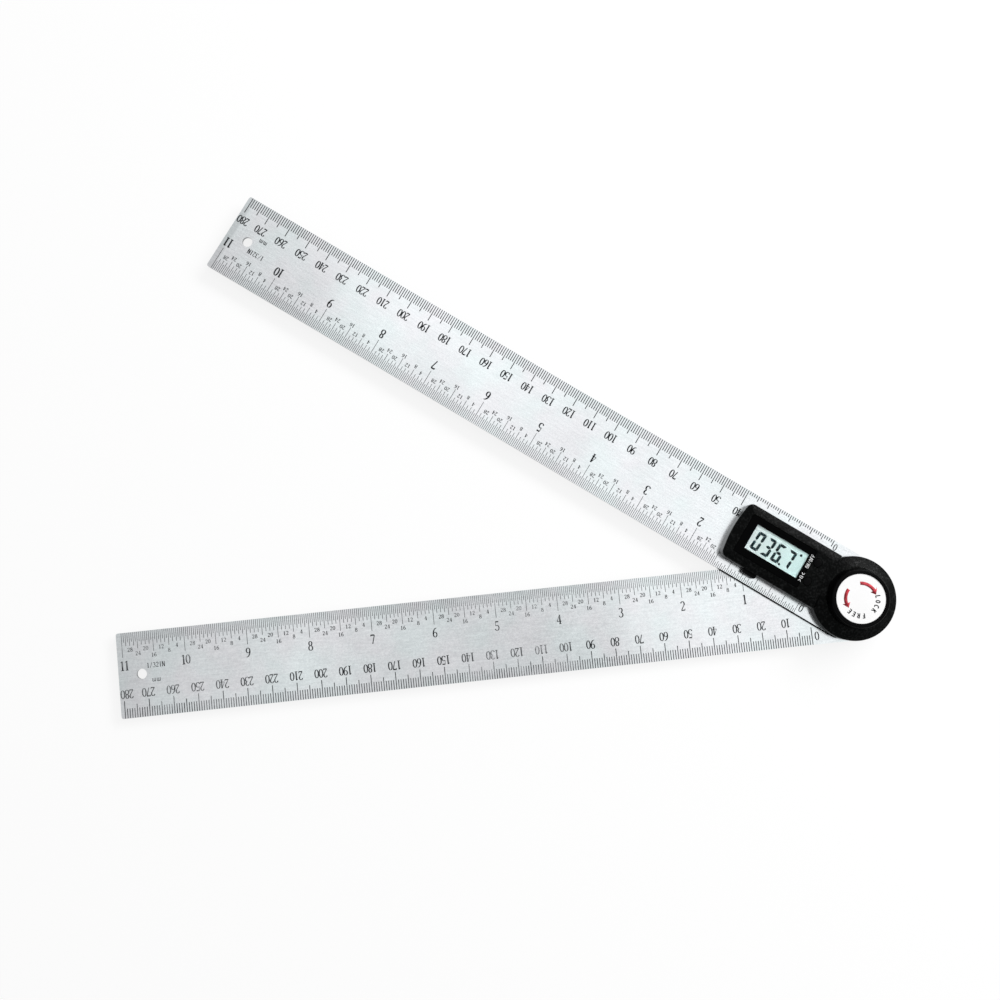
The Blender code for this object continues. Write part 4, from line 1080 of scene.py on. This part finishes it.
class FINDER_OT_window(Operator):
    """Glossy border and clear pane: a section carried once round the opening, and a plate"""
    bl_idname = "finder.window"
    bl_label = "Window"

    def execute(self, context):
        settings = context.scene.finder_housing
        low, high = WINDOW_LOW, WINDOW_HIGH
        half = WINDOW_EASE / 2
        outer = [rounded_box(low + inset, high - inset, WINDOW_CORNER - inset)
                 for inset in (0, 0, WINDOW_EASE)]
        inner = [rounded_box(VISIBLE_LOW - inset, VISIBLE_HIGH + inset, VISIBLE_CORNER + inset)
                 for inset in (half, 0, 0)]
        heights = [low[2], high[2] - WINDOW_EASE, high[2], high[2], high[2] - half, low[2]]
        border = ring_solid("window_border", stacked(outer + inner, heights), True, UPPER_TURN)
        look = smooth_plastic_finish("window_border_black", settings.window, 0.12, 0.015)
        place_piece(border, look, "upper_arm")
        edge = rounded_box(VISIBLE_LOW, VISIBLE_HIGH, VISIBLE_CORNER)
        drawn = rounded_box(VISIBLE_LOW + half, VISIBLE_HIGH - half, PANE_CORNER)
        plate = stacked([edge, edge, drawn], [low[2], high[2] - WINDOW_EASE, high[2] - half])
        pane = ring_solid("window_pane", plate, turn=UPPER_TURN)
        place_piece(pane, clear_finish("clear_pane"), "upper_arm",
                    ["display_window"])
        return {"FINISHED"}


# Segments of each digit, named from the top round by the right to the middle, and the two
# corners that each segment runs between
SEGMENT_NAMES = {"0": "abcdef", "1": "bc", "2": "abged", "3": "abgcd", "4": "fgbc",
                 "5": "afgcd", "6": "afgedc", "7": "abc", "8": "abcdefg", "9": "abcdfg"}
SEGMENT_ENDS = {"a": ((-1, 1), (1, 1)), "b": ((1, 1), (1, 0)), "c": ((1, 0), (1, -1)),
                "d": ((-1, -1), (1, -1)), "e": ((-1, 0), (-1, -1)), "f": ((-1, 1), (-1, 0)),
                "g": ((-1, 0), (1, 0))}
CORNER_GAP = 0.02 * MM
MIDDLE_GAP = 0.14 * MM
FIRST_DIGIT = (-44.85 * MM, -0.25 * MM)
DISPLAY_SPOTS = {"display_point": (-33.25 * MM, -3.9 * MM, 0.5 * MM),
                 "display_degree": (-27.25 * MM, 3.65 * MM, 0.54 * MM)}
SPOT_STEPS = 20
SEGMENT_HEIGHT = 0.03 * MM
DISPLAY_LEAN = math.tan(math.radians(4))


def segment_outlines(digit, centre, settings):
    """Six-cornered bars of one digit: each bar runs between two of the digit's six corners.

    A bar's end at a top or bottom corner is mitred, so its outer edge reaches further.
    The bars stop short by a small gap, and the digit leans by its height.
    """
    width = settings.segment_width
    half = (np.array([settings.digit_width, settings.digit_height]) - width) / 2
    bars = []
    for ends in (SEGMENT_ENDS[name] for name in SEGMENT_NAMES[digit]):
        start, end = np.array(ends) * half
        run = (end - start) / np.linalg.norm(end - start)
        side = np.array([-run[1], run[0]]) * width / 2
        if np.dot(side, start + end) < 0:
            side = -side
        point = run * width / 2
        first_mitre, last_mitre = (-0.5 if level else 1 for _, level in ends)
        first_gap, last_gap = (CORNER_GAP if level else MIDDLE_GAP for _, level in ends)
        start, end = start + run * first_gap, end - run * last_gap
        bars.append([start, start + first_mitre * point + side, end - last_mitre * point + side,
                     end, end - point - side, start + point - side])
    bars = np.array(bars)
    bars[..., 0] += bars[..., 1] * DISPLAY_LEAN
    return bars + np.asarray(centre)


class FINDER_OT_display(Operator):
    """Display field and its reading: six-cornered bars that lean a little, point and degree mark"""
    bl_idname = "finder.display"
    bl_label = "Display"

    def execute(self, context):
        settings = context.scene.finder_display
        dress("lcd_glass", display_finish("pale_mint_display", settings.glass))
        x, y = FIRST_DIGIT
        outlines = {"display_digits": np.concatenate([
            segment_outlines(digit, (x + k * settings.digit_pitch, y), settings)
            for k, digit in enumerate(settings.reading.replace(".", ""))])}
        for name, (x, y, radius) in DISPLAY_SPOTS.items():
            outlines[name] = arc((x, y), (radius, radius), 0, 360, SPOT_STEPS)[None, :-1]
        look = ink_finish("display_segment", settings.segment, 0.4)
        for name, shapes in outlines.items():
            solids = prisms(shapes, LCD_HIGH[2], LCD_HIGH[2] + SEGMENT_HEIGHT)
            place_piece(joined(name, [solids], UPPER_TURN), look, "upper_arm")
        return {"FINISHED"}


# Keys

KEY_RADIUS = 1.7 * MM
KEY_EDGE = 0.3 * MM
KEY_FLANGE = 0.3 * MM
KEY_DOME = 0.06 * MM
KEY_DOME_SHARES = (0.6, 0.2)
KEY_PRINT_X = -23.2 * MM
KEY_WORDS = (("ON/OFF", 3.3 * MM, 1.02 * MM, 1.0, 1.0), (">0<", -3.9 * MM, 1.45 * MM, 1.2, 1.3))
PRINT_SIZE = 1.65 * MM
PRINT_THICKNESS = 0.02 * MM


def key_rings(key):
    """A key: flange, upright side, round edge and a slightly domed top, spun round its middle."""
    low, high = arm_box(key)
    step, top = low[2] + KEY_FLANGE, high[2]
    flange = (high - low)[0] / 2
    outside, inside = (KEY_RADIUS * share for share in KEY_DOME_SHARES)
    turns = np.radians(np.linspace(0, 80, 6))
    edge = np.stack([KEY_RADIUS - KEY_EDGE * (1 - np.cos(turns)),
                     top - KEY_DOME - KEY_EDGE * (1 - np.sin(turns))], -1)
    profile = np.concatenate([
        [(flange, low[2]), (flange, step), (KEY_RADIUS, step), (KEY_RADIUS, top - KEY_EDGE)],
        edge, [(outside, top - KEY_DOME / 2), (inside, top)]])
    return spun(profile, KEY_STEPS, (low + high)[:2] / 2)


class FINDER_OT_keys(Operator):
    """Two round keys, spun from a domed profile, and the print beside them"""
    bl_idname = "finder.keys"
    bl_label = "Keys"

    def execute(self, context):
        black = context.scene.finder_knob.plastic
        look = smooth_plastic_finish("key_rubber", black, 0.45, 0.03)
        for key in KEYS:
            piece = ring_solid(key.replace("button", "key"), key_rings(key), turn=UPPER_TURN)
            place_piece(piece, look, key, [key])
        words = Strokes()
        for text, y, pitch, weight, stretch in KEY_WORDS:
            words.add_text(text, PRINT_SIZE, (KEY_PRINT_X, y), (0, 1), pitch, weight, stretch)
        face = WINDOW_HIGH[2]
        piece = words.piece("key_print", face, face + PRINT_THICKNESS, UPPER_TURN)
        white = ink_finish("key_print", context.scene.finder_housing.print, 0.5)
        place_piece(piece, white, "upper_arm")
        return {"FINISHED"}


# Knob

KNOB_RADIUS = 11.5 * MM
KNOB_RIM = 0.6 * MM
KNOB_HOLE = 1.0 * MM
SEAT_RADIUS = 8.2 * MM
SEAT_DEPTH = 1.2 * MM
RECESS_CLEARANCE = 0.15 * MM
RECESS_EASE = 0.12 * MM
FLOOR_GAP = 0.05 * MM
# How far in from the foot's radius and up from its bottom the points of its edge lie
FOOT_EDGE = ((0.3 * MM, 0.0), (0.08 * MM, 0.1 * MM), (0.0, 0.35 * MM))
LABEL_EASE = (0.06 * MM, 0.05 * MM)
LABEL_STEPS = 192
LABEL_INK = (0.02, 0.02, 0.022)
# Length and width of an arrow's head, and how far its barbs lie behind the neck, in degrees
ARROW_HEAD = (1.9 * MM, 3.2 * MM)
ARROW_BARB = 2
WORD_SIZE = 1.95 * MM
WORD_RADIUS = 6.7 * MM
WORD_STEP = 17.0
# Tails and tips of the arrows and middles of the words, in degrees
ARROWS = (("tighten_arrow", 86, 9), ("loosen_arrow", 136, 209))
TURNING_WORDS = (("LOCK", -24.0), ("FREE", -115.0))


def knob_rings():
    """The knob: foot, tapered side, round rim, label recess, and the room inside, one section."""
    foot = KNOB_HIGH[0]
    low, top = KNOB_LOW[2], KNOB_HIGH[2]
    rim = arc((KNOB_RADIUS - KNOB_RIM, top - KNOB_RIM), (KNOB_RIM, KNOB_RIM), 5, 90, 8)
    recess = LABEL_HIGH[0] + RECESS_CLEARANCE
    floor = LABEL_LOW[2] - FLOOR_GAP
    outer = [(KNOB_HOLE, low + SEAT_DEPTH), (SEAT_RADIUS, low + SEAT_DEPTH), (SEAT_RADIUS, low),
             *((foot - inset, low + rise) for inset, rise in FOOT_EDGE)]
    inner = [(recess + RECESS_EASE, top), (recess, top - RECESS_EASE), (recess, floor),
             (KNOB_HOLE, floor)]
    return spun(np.concatenate([outer, rim, inner]), DRUM_STEPS)


def arrow_outline(radius, width, tail, tip):
    """A bent arrow: a band on an arc between two angles in degrees, and a pointed head."""
    sign = 1 if tip > tail else -1
    head_length, head_width = ARROW_HEAD
    neck = tip - sign * math.degrees(head_length / radius)
    inner, outer = (arc((0, 0), (reach, reach), tail, neck, 2 * ARC_STEPS)
                    for reach in (radius - width / 2, radius + width / 2))
    barb = neck - sign * ARROW_BARB
    angles = np.radians([barb, tip, barb])
    reaches = radius + np.array([head_width / 2, 0, -head_width / 2])
    head = np.stack([reaches * np.cos(angles), reaches * np.sin(angles)], -1)
    return np.concatenate([outer, head, inner[::-1]])


class FINDER_OT_knob(Operator):
    """Lock knob and its label, spun, with two turning arrows on bent outlines and two words"""
    bl_idname = "finder.knob"
    bl_label = "Knob"

    def execute(self, context):
        settings = context.scene.finder_knob
        look = smooth_plastic_finish("smooth_black", settings.plastic, 0.3, 0.03)
        place_piece(ring_solid("knob_body", knob_rings()), look, "lock_knob",
                    ["lock_knob"])
        radius, low, high = LABEL_HIGH[0], LABEL_LOW[2], LABEL_HIGH[2]
        inset, fall = LABEL_EASE
        profile = [(radius, low), (radius, high - fall), (radius - inset, high)]
        film = plain_finish("white_label", settings.label, 0.38, 0.0, 0.02, 500.0, 0.05)
        place_piece(ring_solid("label_disc", spun(profile, LABEL_STEPS)), film, "lock_knob",
                    ["knob_label"])
        top = high + PRINT_THICKNESS
        red = ink_finish("arrow_red", settings.arrow, 0.45)
        for name, tail, tip in ARROWS:
            outline = arrow_outline(settings.arrow_radius, settings.arrow_width, tail, tip)
            place_piece(joined(name, [prisms(outline[None], high, top)]), red, "lock_knob")
        words = Strokes()
        for word, middle in TURNING_WORDS:
            words.add_bent_text(word, WORD_SIZE, WORD_RADIUS, middle, WORD_STEP, 1.5, 1.2)
        ink = ink_finish("label_ink", LABEL_INK)
        place_piece(words.piece("turning_words", high, top), ink, "lock_knob")
        return {"FINISHED"}


# Plain finishes of CAD nodes: name, colour, roughness, metallic, variation, scale and bump,
# and the words by which the nodes' names are known
FITTINGS = (
    ("plated_steel", (0.55, 0.56, 0.57), 0.28, 1.0, 0.08, 1600.0, 0.1, ("screw", "stud")),
    ("nickel_spring_plate", (0.7, 0.69, 0.65), 0.26, 1.0, 0.06, 1200.0, 0.05,
     ("coin_cell", "contact", "dome")),
    ("natural_nylon", (0.78, 0.76, 0.7), 0.5, 0.0, 0.05, 800.0, 0.1, ("washer",)),
    ("rotor_copper", (0.62, 0.44, 0.27), 0.35, 1.0, 0.1, 900.0, 0.05, ("rotor",)),
    ("green_board", (0.02, 0.14, 0.06), 0.4, 0.0, 0.2, 2400.0, 0.1, ("board",)),
    ("black_epoxy", (0.015, 0.015, 0.016), 0.35, 0.0, 0.2, 700.0, 0.1, ("chip",)),
    ("turned_brass", (0.72, 0.52, 0.24), 0.28, 1.0, 0.06, 1500.0, 0.05, ("insert",)),
    ("conductive_rubber", (0.28, 0.29, 0.3), 0.8, 0.0, 0.1, 1800.0, 0.2, ("rubber",)))
DRAWER_EASE = 0.12 * MM


class FINDER_OT_fittings(Operator):
    """Finishes of the drawer, the back cap, the screws and the pieces inside"""
    bl_idname = "finder.fittings"
    bl_label = "Fittings"

    def execute(self, context):
        black = context.scene.finder_knob.plastic
        dress("battery_drawer", smooth_plastic_finish("drawer_black", black, 0.4, 0.05))
        soften(frame["nodes"]["battery_drawer"], DRAWER_EASE)
        black = context.scene.finder_housing.plastic
        dress("back_cap", grained_finish("cap_grained_black", black, 0.5, 0.2, 0.6))
        for *looks, words in FITTINGS:
            finish = plain_finish(*looks)
            for node in frame["nodes"]:
                if any(word in node for word in words):
                    dress(node, finish)
        return {"FINISHED"}


# Studio

def panel_light(name, place, aim, size, brightness):
    """An area lamp of a given brightness: its power is pi times its area times that."""
    lamp = bpy.data.lights.new(name, "AREA")
    lamp.shape = "RECTANGLE"
    lamp.size, lamp.size_y = size
    lamp.energy = brightness * math.pi * size[0] * size[1]
    carrier = bpy.data.objects.new(name, lamp)
    carrier.location = place
    away = np.array(place) - np.array(aim)
    flat = math.hypot(away[0], away[1])
    carrier.rotation_euler = (math.atan2(flat, away[2]), 0, math.atan2(away[0], -away[1]))
    bpy.context.scene.collection.objects.link(carrier)
    return carrier


def seen_directly(wires):
    """1 for rays from the camera, from gloss and through glass, otherwise 0."""
    path = wires.node("ShaderNodeLightPath").outputs
    seen = wires.math("MAXIMUM", path["Is Camera Ray"], path["Is Glossy Ray"])
    return wires.math("MAXIMUM", seen, path["Is Transmission Ray"])


# In metres: half the floor, the panels' places and sizes, and how the upper one is turned
FLOOR_HALF = 3.0
OVERHEAD = ((0.84, 0.57, 1.5), (0.84, 0.57, 0), (2.0, 2.4))
OVERHEAD_TURN = (0, 0, math.radians(34.4))
SIDE = ((0.7, 0.55, 0.556), (0, 0, 0), (1.0, 0.3))


class FINDER_OT_studio(Operator):
    """Pale floor, even surround, two light panels and the camera"""
    bl_idname = "finder.studio"
    bl_label = "Studio"

    def execute(self, context):
        scene = context.scene
        settings = scene.finder_studio
        scene.view_settings.view_transform = "Standard"
        scene.world = bpy.data.worlds.new("surround")
        scene.world.use_nodes = True
        tree = scene.world.node_tree
        wires = Wires(tree)
        sky = tree.nodes["Background"].inputs
        wires.feed(sky["Color"], grey(1))
        wires.feed(sky["Strength"], wires.remap(seen_directly(wires), 0, 1, settings.surround, 1))
        mesh = bpy.data.meshes.new("floor")
        corners = FLOOR_HALF * np.array([(-1, -1, 0), (1, -1, 0), (1, 1, 0), (-1, 1, 0)])
        mesh.from_pydata(corners.tolist(), [], [(0, 1, 2, 3)])
        floor = bpy.data.objects.new("floor", mesh)
        scene.collection.objects.link(floor)
        pale = Finish("pale_floor")
        glow = pale.math("MULTIPLY", seen_directly(pale), settings.floor_glow)
        mesh.materials.append(pale.made(
            Base_Color=grey(0.17), Roughness=1.0, Specular_IOR_Level=0.0,
            Emission_Color=grey(1), Emission_Strength=glow))
        overhead = panel_light("overhead_panel", *OVERHEAD, settings.overhead)
        overhead.rotation_euler = OVERHEAD_TURN
        panel_light("side_panel", *SIDE, settings.side)
        camera = bpy.data.objects.new("camera", bpy.data.cameras.new("camera"))
        camera.location = settings.camera_place
        camera.rotation_euler = settings.camera_turn
        camera.data.lens = settings.lens
        camera.data.sensor_width = 36
        camera.data.clip_start = 0.01
        scene.collection.objects.link(camera)
        scene.camera = camera
        return {"FINISHED"}


class FINDER_PT_panel(Panel):
    """Settings and steps of the angle finder's finish"""
    bl_label = "Angle Finder"
    bl_space_type = "VIEW_3D"
    bl_region_type = "UI"
    bl_category = "Angle Finder"

    def draw(self, context):
        for attribute, kind, title in GROUPS:
            box = self.layout.box()
            box.label(text=title)
            for name in kind.__annotations__:
                box.prop(getattr(context.scene, attribute), name)
        for step in STEPS:
            self.layout.operator(step.bl_idname)


STEPS = (FINDER_OT_studio, FINDER_OT_blades, FINDER_OT_scales, FINDER_OT_housing,
         FINDER_OT_window, FINDER_OT_display, FINDER_OT_keys, FINDER_OT_knob,
         FINDER_OT_fittings)


def register():
    for _, kind, _ in GROUPS:
        bpy.utils.register_class(kind)
    for attribute, kind, _ in GROUPS:
        setattr(bpy.types.Scene, attribute, PointerProperty(type=kind))
    for kind in (*STEPS, FINDER_PT_panel):
        bpy.utils.register_class(kind)


def unregister():
    for kind in (FINDER_PT_panel, *reversed(STEPS)):
        bpy.utils.unregister_class(kind)
    for attribute, kind, _ in GROUPS:
        delattr(bpy.types.Scene, attribute)
        bpy.utils.unregister_class(kind)


def main():
    register()
    bpy.ops.finder.studio()
    bpy.ops.finder.blades()
    bpy.ops.finder.scales()
    bpy.ops.finder.housing()
    bpy.ops.finder.window()
    bpy.ops.finder.display()
    bpy.ops.finder.keys()
    bpy.ops.finder.knob()
    bpy.ops.finder.fittings()


if __name__ == "__main__":
    main()
